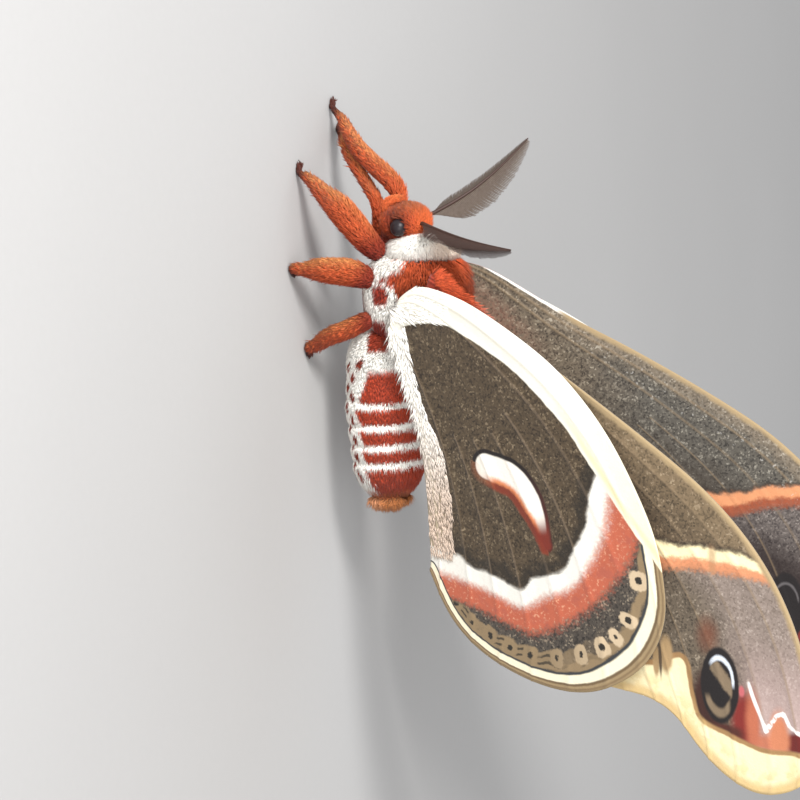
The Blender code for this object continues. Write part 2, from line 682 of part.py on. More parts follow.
def clasper_pair(parts):
    """The two broad lobes at the tip of a male's abdomen, joined at their middles."""
    height = middle_height(ABDOMEN_END)
    lobes = [ball("lobe", (side * CLASPER_SIDE, ABDOMEN_END + 0.2, height), CLASPER_RADII, parts, 20, 12)
             for side in (LEFT, RIGHT)]
    return boolean(lobes[0], [lobes[1]], "UNION")


def copy_of(thing, collection):
    return add_object(thing.name + "_copy", thing.data.copy(), collection)


def place_on_origin(things, collection):
    """Hangs every piece on one empty, set so that the box's middle is over the origin."""
    middle = bpy.data.objects.new("moth", None)
    collection.objects.link(middle)
    middle.location = (-BOX_MIDDLE[0] * MM, -BOX_MIDDLE[1] * MM, 0)
    for thing in things:
        thing.parent = middle


build()
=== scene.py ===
import math

import bpy
import numpy as np
from mathutils import Matrix, Vector


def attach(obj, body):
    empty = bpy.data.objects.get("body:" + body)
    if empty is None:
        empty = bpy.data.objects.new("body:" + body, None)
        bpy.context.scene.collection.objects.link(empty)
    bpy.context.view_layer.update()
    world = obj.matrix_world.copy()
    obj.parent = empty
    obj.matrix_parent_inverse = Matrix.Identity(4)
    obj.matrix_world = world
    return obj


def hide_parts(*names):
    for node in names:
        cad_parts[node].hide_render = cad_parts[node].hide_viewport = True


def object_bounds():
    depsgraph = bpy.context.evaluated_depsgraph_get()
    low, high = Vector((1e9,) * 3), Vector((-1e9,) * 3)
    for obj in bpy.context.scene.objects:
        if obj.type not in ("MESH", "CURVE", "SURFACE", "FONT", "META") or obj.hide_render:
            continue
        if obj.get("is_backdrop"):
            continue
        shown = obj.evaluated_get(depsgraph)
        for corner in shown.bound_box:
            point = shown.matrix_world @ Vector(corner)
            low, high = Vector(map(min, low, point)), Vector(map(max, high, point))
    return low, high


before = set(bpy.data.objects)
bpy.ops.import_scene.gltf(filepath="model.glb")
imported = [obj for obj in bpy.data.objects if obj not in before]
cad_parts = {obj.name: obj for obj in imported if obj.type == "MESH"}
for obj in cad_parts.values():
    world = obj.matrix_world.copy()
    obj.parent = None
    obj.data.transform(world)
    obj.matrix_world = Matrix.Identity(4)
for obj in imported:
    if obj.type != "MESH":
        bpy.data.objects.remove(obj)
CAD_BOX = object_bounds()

# Cecropia moth, a male that stands with its wings folded up over its back.
# Measures are the source's own: millimetres, -Y where the head points, +Z up, +X the moth's left.
BOX_MIDDLE = np.array((0.0, 15.36, 0.0))
MM = 0.001
LEFT, RIGHT = 1, -1
SIDES = ((LEFT, "left"), (RIGHT, "right"))
RNG = np.random.default_rng(7)

# Body, as in the source
THORAX = {"centre": (0.0, 0.6, 12.8), "radii": (4.9, 5.7, 6.0), "boxy": 2.5, "coat": 0.1}
COLLAR = {"centre": (0.0, -4.9, 13.9), "radii": (3.6, 1.7, 4.1), "boxy": 2.0, "coat": 0.1}
HEAD = {"centre": (0.0, -8.2, 12.1), "radii": (2.5, 2.1, 2.8), "boxy": 2.0, "coat": 0.3}
EYE_RADIUS, EYE_CENTRE = 1.05, (2.1, -7.7, 11.9)
ABDOMEN_START, ABDOMEN_END = 4.4, 24.7
ABDOMEN_RADIUS, ABDOMEN_COAT = 5.1, 0.35
ABDOMEN_SHOULDER, ABDOMEN_TAIL = 0.24, 0.30
ABDOMEN_HEIGHTS = ((4.4, 10.6), (9.0, 8.7), (14.0, 8.1), (19.0, 8.3), (24.7, 8.2))
ABDOMEN_WHITE_LINES = (12.9, 15.5, 17.9, 20.1)
CLASPER_SIDE, CLASPER_RADII = 1.15, (1.4, 1.25, 2.3)
LEG_SKIN = 0.66                      # of the leg's width in the source, which counts its coat
FOOT_LENGTH = 1.0
NECK = ((0, -7.8, 12.4, 1.9), (0, -5.5, 12.9, 2.2), (0, -3.0, 13.2, 2.6))
WAIST = ((0, 2.5, 12.0, 3.4), (0, 5.5, 10.6, 3.2), (0, 8.5, 9.2, 3.6))
SKIN_CELL = 0.2
FAR_OFF = 98.0                       # farther than any part of the body reaches
LEGS = {
    "leg_fore_left": ((1.6, -3.9, 9.8, 0.95), (3.4, -6.4, 8.2, 1.45), (4.7, -9.8, 6.0, 1.6),
                      (4.7, -12.0, 3.8, 1.05), (4.2, -13.8, 1.8, 0.58), (3.5, -15.6, 0.35, 0.42)),
    "leg_mid_left": ((3.2, -1.4, 9.0, 0.95), (5.0, -2.6, 7.0, 1.5), (6.9, -3.3, 4.2, 1.35),
                     (7.7, -3.5, 2.1, 0.75), (7.2, -3.0, 0.35, 0.42)),
    "leg_hind_left": ((2.8, 2.4, 9.2, 0.9), (4.2, 3.9, 5.9, 1.0), (4.7, 4.8, 3.5, 0.9),
                      (4.5, 5.8, 1.6, 0.65), (3.9, 7.1, 0.35, 0.42)),
    "leg_fore_right": ((-1.7, -3.4, 9.8, 1.0), (-3.4, -6.0, 8.6, 0.85), (-4.3, -9.3, 9.7, 0.75),
                       (-4.3, -12.3, 9.2, 1.05), (-4.4, -16.6, 5.1, 0.95), (-6.6, -20.2, 2.2, 0.55),
                       (-8.6, -22.6, 0.35, 0.42)),
    "leg_mid_right": ((-3.5, -1.5, 8.6, 1.0), (-6.4, -5.4, 6.5, 0.9), (-4.4, -9.6, 7.0, 0.66),
                      (-4.6, -12.4, 5.7, 0.62), (-5.2, -15.7, 3.5, 0.56), (-8.0, -18.0, 1.5, 0.45),
                      (-10.7, -19.6, 0.35, 0.42)),
    "leg_hind_right": ((-3.0, 2.6, 8.8, 1.1), (-7.3, 7.8, 6.6, 1.1), (-10.6, 14.0, 4.0, 0.85),
                       (-12.2, 20.2, 1.6, 0.55), (-13.0, 24.5, 0.35, 0.42)),
}

# Feelers, as in the source
ANTENNA_LENGTH = 16.2
RAY_LONGEST, RAY_LEAN, RAY_WIDTH, RAY_THICKNESS = 2.9, 0.3, 0.096, 0.05
COMB_OPENING = math.radians(62)
RAYS_A_SIDE = 86
ANTENNAE = {
    "antenna_left": ((1.15, -8.3, 13.9), (7.9, 2.9, 13.9), (0.27, 0.9, -0.34), 0.4),
    "antenna_right": ((-1.15, -8.5, 13.9), (-8.6, -8.5, 10.7), (-0.81, 0.58, 0.05), 1.4),
}

# Wings: places are (back along the body, up the wing) from the hinge line
WING_LEAN, HINGE_HEIGHT = math.radians(18), 12.0
WING_CAMBER, CAMBER_SPAN = 1.4, 54.0
WING_HALF_THICK, VEIN_RIDGE, VEIN_WIDTH, PLEAT = 0.13, 0.1, 0.17, 0.1
WING_ROWS, WING_COLUMNS = 150, 130
SWUNG_BACK = {"hindwing_right": 0.065}      # radians
FOREWING = {
    "out": 4.4,
    "costa": ((-2.6, 5.6), (-2.3, 7.4), (0.7, 11.9), (5.0, 18.2), (8.6, 24.4), (15.0, 34.4),
              (21.0, 42.4), (28.0, 48.4), (36.4, 52.2), (46.7, 54.0), (50.6, 53.4)),
    "outer": ((50.6, 53.4), (52.6, 51.2), (53.6, 47.0), (52.0, 43.0), (49.2, 39.8), (46.0, 37.2),
              (44.2, 34.0), (43.6, 29.6), (43.0, 25.0), (41.2, 20.6)),
    "inner": ((1.6, 3.3), (9.0, 6.2), (20.0, 10.6), (31.0, 14.8), (38.0, 17.8), (41.2, 20.6)),
    "veins": ((0.07, 0.0), (0.16, 0.0), (0.27, 0.42), (0.38, 0.44), (0.50, 0.44), (0.61, 0.42),
              (0.72, 0.0), (0.93, 0.0)),
}
HINDWING = {
    "out": 6.0,
    "costa": ((0.2, 1.2), (-1.4, 3.7), (-0.8, 7.5), (0.6, 11.9), (4.3, 18.9), (8.0, 24.2),
              (13.4, 29.2), (19.3, 32.8), (26.5, 35.9), (33.5, 36.8)),
    "outer": ((33.5, 36.8), (37.0, 35.8), (40.0, 33.8), (42.1, 31.1), (43.9, 27.1), (44.3, 22.3),
              (43.3, 16.6), (41.0, 10.8), (37.4, 6.5), (32.3, 3.7)),
    "inner": ((4.0, -0.8), (6.0, -0.4), (9.8, 1.4), (15.6, 3.0), (22.0, 3.8), (30.4, 4.0),
              (32.3, 3.7)),
    "veins": ((0.08, 0.0), (0.19, 0.0), (0.31, 0.40), (0.43, 0.42), (0.55, 0.42), (0.66, 0.40),
              (0.77, 0.0), (0.93, 0.0)),
}

# Edges of the wings' markings, in places on the wing
HIND_MARKS = {
    "costal_band": ((4.6, -2.0), (3.4, 1.7), (3.0, 4.5), (3.0, 7.3), (3.6, 9.7), (5.7, 14.0), (8.4, 18.5),
                    (13.6, 24.3), (16.7, 26.7), (19.2, 28.6), (24.0, 32.2), (30.0, 37.0)),
    "zones": (
        ((12.0, 32.0), (18.0, 29.0), (20.9, 27.7), (24.9, 26.8), (28.5, 24.7), (30.5, 23.4), (31.7, 19.3),
         (33.3, 17.5), (32.0, 13.8), (31.3, 10.4), (30.1, 8.1), (29.6, 5.5), (28.8, 2.0), (28.0, -3.0)),
        ((13.0, 34.5), (18.0, 31.4), (21.7, 29.9), (25.7, 29.1), (29.3, 27.1), (32.2, 24.5), (33.7, 20.7),
         (35.2, 17.4), (34.1, 13.5), (33.2, 9.8), (32.6, 6.0), (31.9, 2.0), (31.2, -3.0)),
        ((14.0, 37.0), (20.0, 36.0), (24.5, 34.6), (28.4, 32.9), (31.0, 30.7), (33.6, 28.0), (35.9, 24.7),
         (37.5, 21.6), (38.2, 18.6), (37.4, 15.0), (36.2, 11.0), (35.4, 6.5), (34.6, 2.0), (34.0, -3.0)),
    ),
    "crescent": ((19.1, 13.1), (20.4, 17.3), (23.7, 19.9), (27.6, 21.4)),
    "dots": ((30.6, 33.4), (35.1, 32.0), (37.2, 30.3), (38.6, 28.5), (39.8, 25.6), (40.6, 22.2),
             (40.7, 18.5), (40.1, 15.6), (39.2, 12.7), (37.9, 10.0), (35.9, 7.6)),
    "anal_strip": ((-4.0, 0.9), (3.2, 1.2), (9.7, 2.5), (14.4, 4.2), (17.7, 5.9), (23.6, 7.0), (30.1, 6.8),
                   (36.0, 6.4)),
}
FORE_MARKS = {
    "zones": (
        ((29.5, 56.0), (27.9, 49.5), (27.5, 47.2), (26.8, 45.0), (26.7, 42.6), (26.3, 40.4), (26.6, 38.3),
         (26.2, 35.8), (25.6, 30.0), (25.0, 20.0), (24.5, 8.0)),
        ((32.5, 56.0), (30.6, 51.0), (30.0, 48.4), (29.6, 44.9), (29.3, 40.3), (29.5, 36.2), (29.4, 30.0),
         (29.2, 20.0), (29.0, 8.0)),
    ),
    "cream_margin": ((37.0, 14.0), (38.6, 20.0), (39.6, 24.0), (40.2, 28.0), (40.5, 33.7), (39.6, 36.4),
                     (39.5, 38.3), (42.5, 38.8), (46.0, 39.9), (47.5, 43.4), (48.8, 47.2), (48.9, 51.6),
                     (49.2, 57.0)),
    "zigzag": ((41.2, 46.1), (42.5, 46.5), (44.7, 47.4), (46.4, 48.0), (44.5, 49.3), (44.1, 50.1),
               (45.6, 50.8), (46.5, 52.4)),
    "spot": ((41.8, 42.6), (4.3, 2.3)),
    # Colour, centre, size and softness of small patches, from the lowest to the topmost
    "smudges": (((0.37, 0.245, 0.12), (39.7, 34.8), (1.9, 0.4), 0.3),
                ((0.37, 0.245, 0.12), (39.0, 36.1), (2.1, 0.8), 0.3),
                ((0.09, 0.06, 0.035), (39.6, 35.35), (1.9, 0.2), 0.5)),
    "lobes": (((0.19, 0.02, 0.015), (45.6, 45.4), (3.4, 1.5), 0.4),
              ((0.13, 0.015, 0.012), (47.4, 51.6), (1.3, 1.6), 0.35),
              ((0.04, 0.014, 0.01), (43.9, 41.2), (3.9, 2.0), 0.35),
              ((0.07, 0.018, 0.012), (47.2, 42.9), (1.2, 2.4), 0.35),
              ((0.48, 0.16, 0.09), (47.7, 47.9), (1.0, 1.5), 0.6),
              ((0.46, 0.135, 0.07), (45.6, 46.5), (3.3, 0.85), 0.6),
              ((0.53, 0.19, 0.095), (47.0, 49.55), (2.8, 1.15), 0.4),
              ((0.5, 0.12, 0.13), (42.2, 45.2), (0.6, 0.35), 0.4)),
}

# Markings of the body. On the abdomen they are in millimetres along it and degrees round it
# from its back, on the thorax in millimetres along and up; a spot or square is a centre and half sizes.
BELLY_EDGE = ((9.0, 12.3, 12.8, 13.3, 15.0, 15.6, 17.5, 18.1, 19.7, 20.3, 22.5),
              (98, 112, 120, 121, 110, 118, 109, 116, 108, 112, 103))
BELLY_SPOTS = (((7.9,), 115, 0.6, 7.0),
               ((9.5, 11.8, 14.6, 16.9, 19.1, 21.2), 129, 0.6, 6.5),
               ((8.4, 10.7, 13.3, 15.7, 18.0, 20.1), 144, 0.55, 6.5),
               ((9.6, 12.1, 14.6, 16.9, 19.1, 21.2), 165, 0.55, 8.0))
THORAX_WHITE_TOP = ((-5.2, -3.9, -2.6, -1.7, -0.9, 0.6, 4.0), (12.2, 11.8, 11.2, 11.3, 12.3, 12.8, 12.8))
SMALL_SQUARE, SIDE_SQUARE = ((-2.4, 10.45), (0.5, 0.62)), ((-0.45, 10.2), (1.1, 0.92))
WAIST_SQUARE = ((4.5, 9.3), (2.0, 1.15))

# Tufts drawn for each part, before those that would grow inside another part are left out
TUFTS = {"thorax": 18500, "collar": 10000, "head": 8000, "palp": 1300, "abdomen": 17000, "clasper": 2600,
         "leg": 4800, "wing_root": 8200, "forewing_edge": 2600}
ROOT_DEPTH, FLOOR_GAP = 0.18, 0.02
SPAN_STEPS = 24                      # points on a smooth line between two given ones
GROOVE_WIDTH, GROOVE_DEPTH = 0.45, 0.16

# Studio, with the photograph's camera
TARGET, CAMERA_DISTANCE = np.array((0.0, 13.2, 10.1)), 300.0
CAMERA_BACK, CAMERA_UP = (0.928, -0.147, 0.342), (-0.156, -0.988, 0.0)
LENS, FILM_WIDTH = 112.46, 36.0
FLOOR_HALF = 1500.0
AIR_COLOUR, AIR_STRENGTH = (0.95, 0.97, 1.0, 1.0), 0.78
LIGHT_AIM, LIGHT_DISTANCE = (0, -0.002, 0.012), 0.4      # metres
LIGHTS = (("key_light", (0.55, -0.62, 0.56), 1.9, 0.12), ("fill_light", (0.88, 0.1, 0.46), 0.75, 0.3))


# Shapes

def metres(points):
    return (np.asarray(points, float) - BOX_MIDDLE) * MM


def unit(vectors):
    return vectors / np.maximum(np.linalg.norm(vectors, axis=-1, keepdims=True), 1e-9)


def step(low, high, values):
    """0 below low, 1 above high, smooth between."""
    share = np.clip((values - low) / (high - low), 0, 1)
    return share * share * (3 - 2 * share)


def add(name, points, faces, smooth=True):
    """A mesh object from points in millimetres and arrays of faces."""
    mesh = bpy.data.meshes.new(name)
    mesh.vertices.add(len(points))
    mesh.vertices.foreach_set("co", metres(points).astype(np.float32).ravel())
    corners = np.concatenate([face.ravel() for face in faces]).astype(np.int32)
    sizes = np.concatenate([np.full(len(face), face.shape[1]) for face in faces])
    mesh.loops.add(len(corners))
    mesh.loops.foreach_set("vertex_index", corners)
    mesh.polygons.add(len(sizes))
    mesh.polygons.foreach_set("loop_start", np.concatenate([[0], np.cumsum(sizes)[:-1]]).astype(np.int32))
    mesh.update(calc_edges=True)
    if smooth:
        mesh.shade_smooth()
    thing = bpy.data.objects.new(name, mesh)
    bpy.context.scene.collection.objects.link(thing)
    return thing


def note(thing, name, values):
    """Gives each point a row of three numbers that the materials read."""
    layer = thing.data.attributes.new(name, "FLOAT_VECTOR", "POINT")
    layer.data.foreach_set("vector", np.asarray(values, np.float32).ravel())


def at_places(goals, stations, rows):
    """What the rows hold at the goals, read between their stations."""
    return np.stack([np.interp(goals, stations, column) for column in rows.T], axis=1)


def smooth_line(points, count):
    """Evenly spaced points on a smooth curve through the given ones, as the source draws it."""
    points = np.asarray(points, float)
    last = len(points) - 1
    t = (np.arange(SPAN_STEPS) / SPAN_STEPS)[:, None]
    dense = []
    for i in range(last):
        a, b, c, d = (points[k] for k in (max(i - 1, 0), i, i + 1, min(i + 2, last)))
        dense.append(0.5 * (2 * b + (c - a) * t + (2 * a - 5 * b + 4 * c - d) * t * t
                            + (3 * b - a - 3 * c + d) * t ** 3))
    dense = np.concatenate(dense + [points[-1:]])
    travelled = np.concatenate([[0], np.cumsum(np.linalg.norm(np.diff(dense, axis=0), axis=1))])
    return at_places(np.linspace(0, travelled[-1], count), travelled, dense)


def rounded(line, rounds=30):
    """A line with its slight corners evened out, its ends where they were."""
    line = line.copy()
    for _ in range(rounds):
        line[1:-1] = 0.25 * line[:-2] + 0.5 * line[1:-1] + 0.25 * line[2:]
    return line


def closed_grid(rings, first, last):
    """Points and faces of a tube of rings, closed by a point at each end."""
    rows, across = rings.shape[:2]
    points = np.concatenate([rings.reshape(-1, 3), first[None], last[None]])
    here = np.arange(rows * across).reshape(rows, across)
    after = np.roll(here, -1, axis=1)
    quads = np.stack([here[:-1], after[:-1], after[1:], here[1:]], axis=-1).reshape(-1, 4)
    cap = np.full(across, rows * across)
    caps = np.concatenate([np.stack([after[0], here[0], cap], axis=1),
                           np.stack([here[-1], after[-1], cap + 1], axis=1)])
    return points, [quads, caps]


def joined(shapes):
    """The points and faces of several shapes as one."""
    points, quads, tris, shift = [], [], [], 0
    for shape_points, (four, three) in shapes:
        points.append(shape_points)
        quads.append(four + shift)
        tris.append(three + shift)
        shift += len(shape_points)
    return np.concatenate(points), [np.concatenate(quads), np.concatenate(tris)]


def tube_frames(line):
    """Way along, and two ways out, at each station of a line."""
    way = unit(np.gradient(line[:, :3], axis=0))
    side = unit(np.cross(way, (0.0, 0.0, 1.0)))
    steep = np.abs(way[:, 2]) > 0.97
    side[steep] = unit(np.cross(way[steep], (0.0, 1.0, 0.0)))
    for k in range(1, len(side)):
        if side[k] @ side[k - 1] < 0:
            side[k] = -side[k]
    return way, unit(np.cross(side, way)), side


def tube(line, across=20):
    way, over, side = tube_frames(line)
    angle = np.linspace(0, 2 * math.pi, across, endpoint=False)[None, :, None]
    out = over[:, None] * np.cos(angle) + side[:, None] * np.sin(angle)
    first = line[0, :3] - way[0] * line[0, 3] * 0.5
    last = line[-1, :3] + way[-1] * line[-1, 3] * 0.5
    return closed_grid(line[:, None, :3] + line[:, None, 3:] * out, first, last)


def ball(centre, radii, boxy=2.0, across=64, rows=40):
    """A sphere stretched to three radii, fuller at its corners where boxy is over 2."""
    high = np.linspace(0, math.pi, rows)[1:-1, None]
    turn = np.linspace(0, 2 * math.pi, across, endpoint=False)[None]
    way = np.stack([np.sin(high) * np.cos(turn), -np.cos(high) * np.ones_like(turn),
                    -np.sin(high) * np.sin(turn)], axis=-1)
    shape = way / (np.abs(way) ** boxy).sum(-1, keepdims=True) ** (1 / boxy)
    centre, radii = np.array(centre), np.array(radii)
    y = np.array((0.0, radii[1], 0.0))
    return closed_grid(shape * radii + centre, centre - y, centre + y)


def skin_radii(shape):
    """A part's radii in the source less the depth of its coat."""
    return np.array(shape["radii"]) - shape["coat"]


def middle_height(along):
    """The height of the abdomen's middle line."""
    height = np.full(np.shape(along), ABDOMEN_HEIGHTS[0][1], float)
    for one, two in zip(ABDOMEN_HEIGHTS, ABDOMEN_HEIGHTS[1:]):
        height += (two[1] - one[1]) * step(one[0], two[0], along)
    return height


def abdomen_line(coat, count=60):
    """Stations along the abdomen, with its radius less the coat's depth."""
    share = np.linspace(0.004, 0.997, count)
    along = ABDOMEN_START + (ABDOMEN_END - ABDOMEN_START) * share
    rise = np.maximum(1 - share / ABDOMEN_SHOULDER, 0)
    fall = np.maximum(1 - (1 - share) / ABDOMEN_TAIL, 0)
    shape = np.sqrt(1 - rise ** 2) * (1 - fall ** 3.2) ** 0.5
    groove = sum(np.exp(-((along - y) / GROOVE_WIDTH) ** 2) for y in ABDOMEN_WHITE_LINES)
    radius = ABDOMEN_RADIUS * shape * (1 - 0.14 * share) - coat - GROOVE_DEPTH * groove
    return np.stack([np.zeros(count), along, middle_height(along), np.maximum(radius, 0.2)], axis=1)


def leg_line(stations, share=1.0, count=40):
    ankle, foot = np.array(stations[-2]), np.array(stations[-1])
    back = ankle - foot
    back[2:] = 0
    heel = foot + unit(back) * FOOT_LENGTH
    line = smooth_line((*stations[:-1], heel, foot), count)
    line[:, 3] *= np.interp(np.linspace(0, 1, count), (0, 0.55, 0.82, 1), (share, share, 0.56, 0.8))
    line[:, 2] = np.maximum(line[:, 2], line[:, 3] + FLOOR_GAP)
    return line


def palp_line(side):
    y, z = HEAD["centre"][1:]
    return smooth_line(((side * 0.6, y - 1.0, z - 1.9, 0.3), (side * 0.65, y - 1.9, z - 2.2, 0.34),
                        (side * 0.6, y - 2.5, z - 1.6, 0.28), (side * 0.55, y - 2.7, z - 0.9, 0.15)), 12)


def clasper(side):
    centre = (side * CLASPER_SIDE, ABDOMEN_END + 0.2, ABDOMEN_HEIGHTS[-1][1])
    return {"centre": centre, "radii": CLASPER_RADII, "boxy": 2.0, "coat": 0.45}


# Markings of the body, the same for skin and coat.
# Each gives white, dark and gold from 0 to 1, and the red's tint from deep red to orange. On the legs and the
# thorax's underside the dark also holds painted shade, and on the legs and head the gold holds painted
# highlights.

def masks(white, dark=0.0, gold=0.0, tint=0.0):
    return np.stack(np.broadcast_arrays(white, dark, gold, tint), axis=-1).astype(float)


def spots(along, angle, centres, row, wide, tall):
    """Round spots in a row at one angle on the side of the body."""
    return np.maximum.reduce([1 - step(0.75, 1.15, np.hypot((along - y) / wide, (angle - row) / tall))
                              for y in centres])


def box_mask(y, z, centre, half, soft=0.25):
    return ((1 - step(half[0] - soft, half[0] + soft, np.abs(y - centre[0])))
            * (1 - step(half[1] - soft, half[1] + soft, np.abs(z - centre[1]))))


def abdomen_marks(points, normals):
    y = points[:, 1]
    angle = np.degrees(np.abs(np.arctan2(points[:, 0], points[:, 2] - middle_height(y))))
    lines = np.maximum.reduce([1 - step(0.3, 0.62, np.abs(y - at)) for at in ABDOMEN_WHITE_LINES])
    belly = step(-3, 3, angle - np.interp(y, *BELLY_EDGE))
    front = 1 - step(8.3, 9.1, y)
    red = np.maximum.reduce([spots(y, angle, *row) for row in BELLY_SPOTS])
    tail = step(22.2, 23.2, y)
    waist = box_mask(y, points[:, 2], *WAIST_SQUARE)
    white = np.maximum.reduce([lines, belly, front]) * (1 - red) * (1 - tail) * (1 - waist)
    return masks(white, 0.45 * red * (1 - tail) + 0.3 * waist + 0.22 * tail, 0.2 * tail, 0.5 * tail + 0.12)


def thorax_marks(points, normals):
    """Red above, white low on the sides with dark red squares, and painted shade in dark red beneath."""
    y, z = points.T[1:]
    top = np.interp(y, *THORAX_WHITE_TOP)
    red = np.maximum.reduce([box_mask(y, z, *square) for square in (SMALL_SQUARE, SIDE_SQUARE, WAIST_SQUARE)])
    strip = box_mask(y + 0.5 * (z - 11.5), z, (-3.4, 11.4), (0.55, 1.7))
    white = np.maximum((1 - step(-0.25, 0.25, z - top)) * step(6.9, 7.9, z) * (1 - red), strip)
    # under: painted shade in dark red beneath the thorax
    under = 1 - step(6.9, 8.2, z)
    return masks(white, 0.55 * under + 0.3 * red * (1 - white), 0.0, 0.38 * step(10.0, 13.0, z))


def collar_marks(points, normals):
    z = points[:, 2]
    low = step(9.6, 10.4, z)
    return masks(low, 0.3 * (1 - low), 0.26 * step(14.8, 16.8, z), 0.3)


def eye_distance(points):
    """How far each point is from the middle of the nearer eye."""
    return np.linalg.norm(np.stack([np.abs(points[:, 0]), *points.T[1:]], axis=1) - EYE_CENTRE, axis=1)


def head_marks(points, normals):
    """Orange-red, darker round the eyes and where the head meets the collar, with a painted golden highlight
    on the fur that faces forwards.
    """
    eye, back = eye_distance(points), step(-7.4, -6.4, points[:, 1])
    lit = np.maximum(normals @ np.array((0.1, -0.97, 0.2)), 0) ** 2
    dark = np.clip(0.6 * (1 - step(1.1, 1.7, eye)) + 0.45 * back, 0, 1)
    return masks(0.0, dark, 0.18 * lit, 0.62 - 0.3 * (1 - step(1.3, 2.6, eye)))


def leg_marks(points, normals, share):
    """Orange-red with blackish feet, painted golden highlights on the front edges, and painted shade on the
    backs and at the roots.
    """
    # lit paints a golden highlight on the front edges; shaded and root paint shade on the backs and where the
    # legs meet the body.
    lit = np.maximum(normals @ np.array((0.2, -0.95, 0.24)), 0) ** 3
    shaded = np.maximum(normals @ np.array((0.1, 0.9, -0.42)), 0)
    foot = step(0.8, 0.93, share)
    root = 1 - step(0.05, 0.3, share)
    return masks(0.0, np.clip(0.9 * foot + 0.5 * root + 0.2 * shaded, 0, 1),
                 0.6 * lit * (1 - foot) * (1 - root), 0.48 - 0.4 * root - 0.2 * shaded)


def clasper_marks(points, normals):
    low = 1 - step(7.0, 8.4, points[:, 2])
    return masks(0.2 * low, 0.46 - 0.1 * low, 0.32, 0.75)


# Wings

def wing_ways(side):
    """The ways back along a wing, up it and out from its face."""
    over, rise = math.sin(WING_LEAN), math.cos(WING_LEAN)
    return np.array((0.0, 1.0, 0.0)), np.array((side * over, 0.0, rise)), np.array((side * rise, 0.0, -over))


def on_wing(a, b, side, out, lift=0.0):
    """Points at places on a wing's middle surface, moved out from its face by lift."""
    back, up, face = wing_ways(side)
    start = np.array((side * out, 0.0, HINGE_HEIGHT))
    camber = WING_CAMBER * np.sin(math.pi * np.clip(b / CAMBER_SPAN, 0, 1))
    return start + a[..., None] * back + b[..., None] * up + (camber + lift)[..., None] * face


def swing(name, a, b):
    """Places of a wing that is turned back about its hinge."""
    angle = SWUNG_BACK.get(name, 0.0)
    return a * math.cos(angle) + b * math.sin(angle), b * math.cos(angle) - a * math.sin(angle)


def patch(shape):
    """Places inside a wing's outline: rows run outwards, columns back from the costa."""
    s = np.linspace(0, 1, WING_ROWS)[:, None, None]
    t = np.linspace(0, 1, WING_COLUMNS)[None, :, None]
    edge = rounded(np.concatenate([smooth_line(shape["costa"], WING_ROWS),
                                   smooth_line(shape["outer"], WING_COLUMNS)[1:]]))
    costa, outer = edge[:WING_ROWS, None], edge[None, WING_ROWS - 1:]
    inner = smooth_line(shape["inner"], WING_ROWS)[:, None]
    near, far = costa[:1], inner[:1]
    root = near + (far - near) * t
    return ((1 - t) * costa + t * inner + (1 - s) * root + s * outer
            - (1 - s) * (1 - t) * near - (1 - s) * t * far
            - s * (1 - t) * costa[-1:] - s * t * inner[-1:])


def line_distance(places, line):
    """Distance to a line, above 0 on the left of its way, and how far along it the nearest point is."""
    line = np.asarray(line, float)
    flat = places.reshape(-1, 2)
    best = np.full(len(flat), 1e9)
    hand = np.ones(len(flat))
    along = np.zeros(len(flat))
    travelled = 0.0
    for p, q in zip(line, line[1:]):
        way = q - p
        length = np.linalg.norm(way)
        share = np.clip((flat - p) @ way / length ** 2, 0, 1)
        apart = flat - p - share[:, None] * way
        far = np.linalg.norm(apart, axis=1)
        closer = far < best - 1e-9
        best[closer] = far[closer]
        hand[closer] = np.sign(way[0] * apart[closer, 1] - way[1] * apart[closer, 0])
        along[closer] = travelled + share[closer] * length
        travelled += length
    best *= np.where(hand == 0, 1, hand)
    return best.reshape(places.shape[:-1]), along.reshape(places.shape[:-1])


def off(places, points, count):
    """Distance to the smooth line through some points."""
    return line_distance(places, smooth_line(points, count))[0]


def zone_count(places, zones, scale, margin=None):
    """How many of the nested lines lie inside a place, with the share of the way to the next.
    Before the first line, and past the last where no margin is given, a zone is scale millimetres."""
    ways = [off(places, line, 90) for line in zones]
    last = ways[-1]
    ways.append(-margin if margin is not None else last - scale)
    count = np.where(ways[0] < 0, ways[0] / scale, 0.0)
    for k, (here, there) in enumerate(zip(ways, ways[1:])):
        between = k + here / np.maximum(here - there, 1e-6)
        count = np.where((here >= 0) & (there < 0), between, np.where(here >= 0, k + 1.0, count))
    return count if margin is not None else np.where(last >= 0, len(zones) - 1 + last / scale, count)


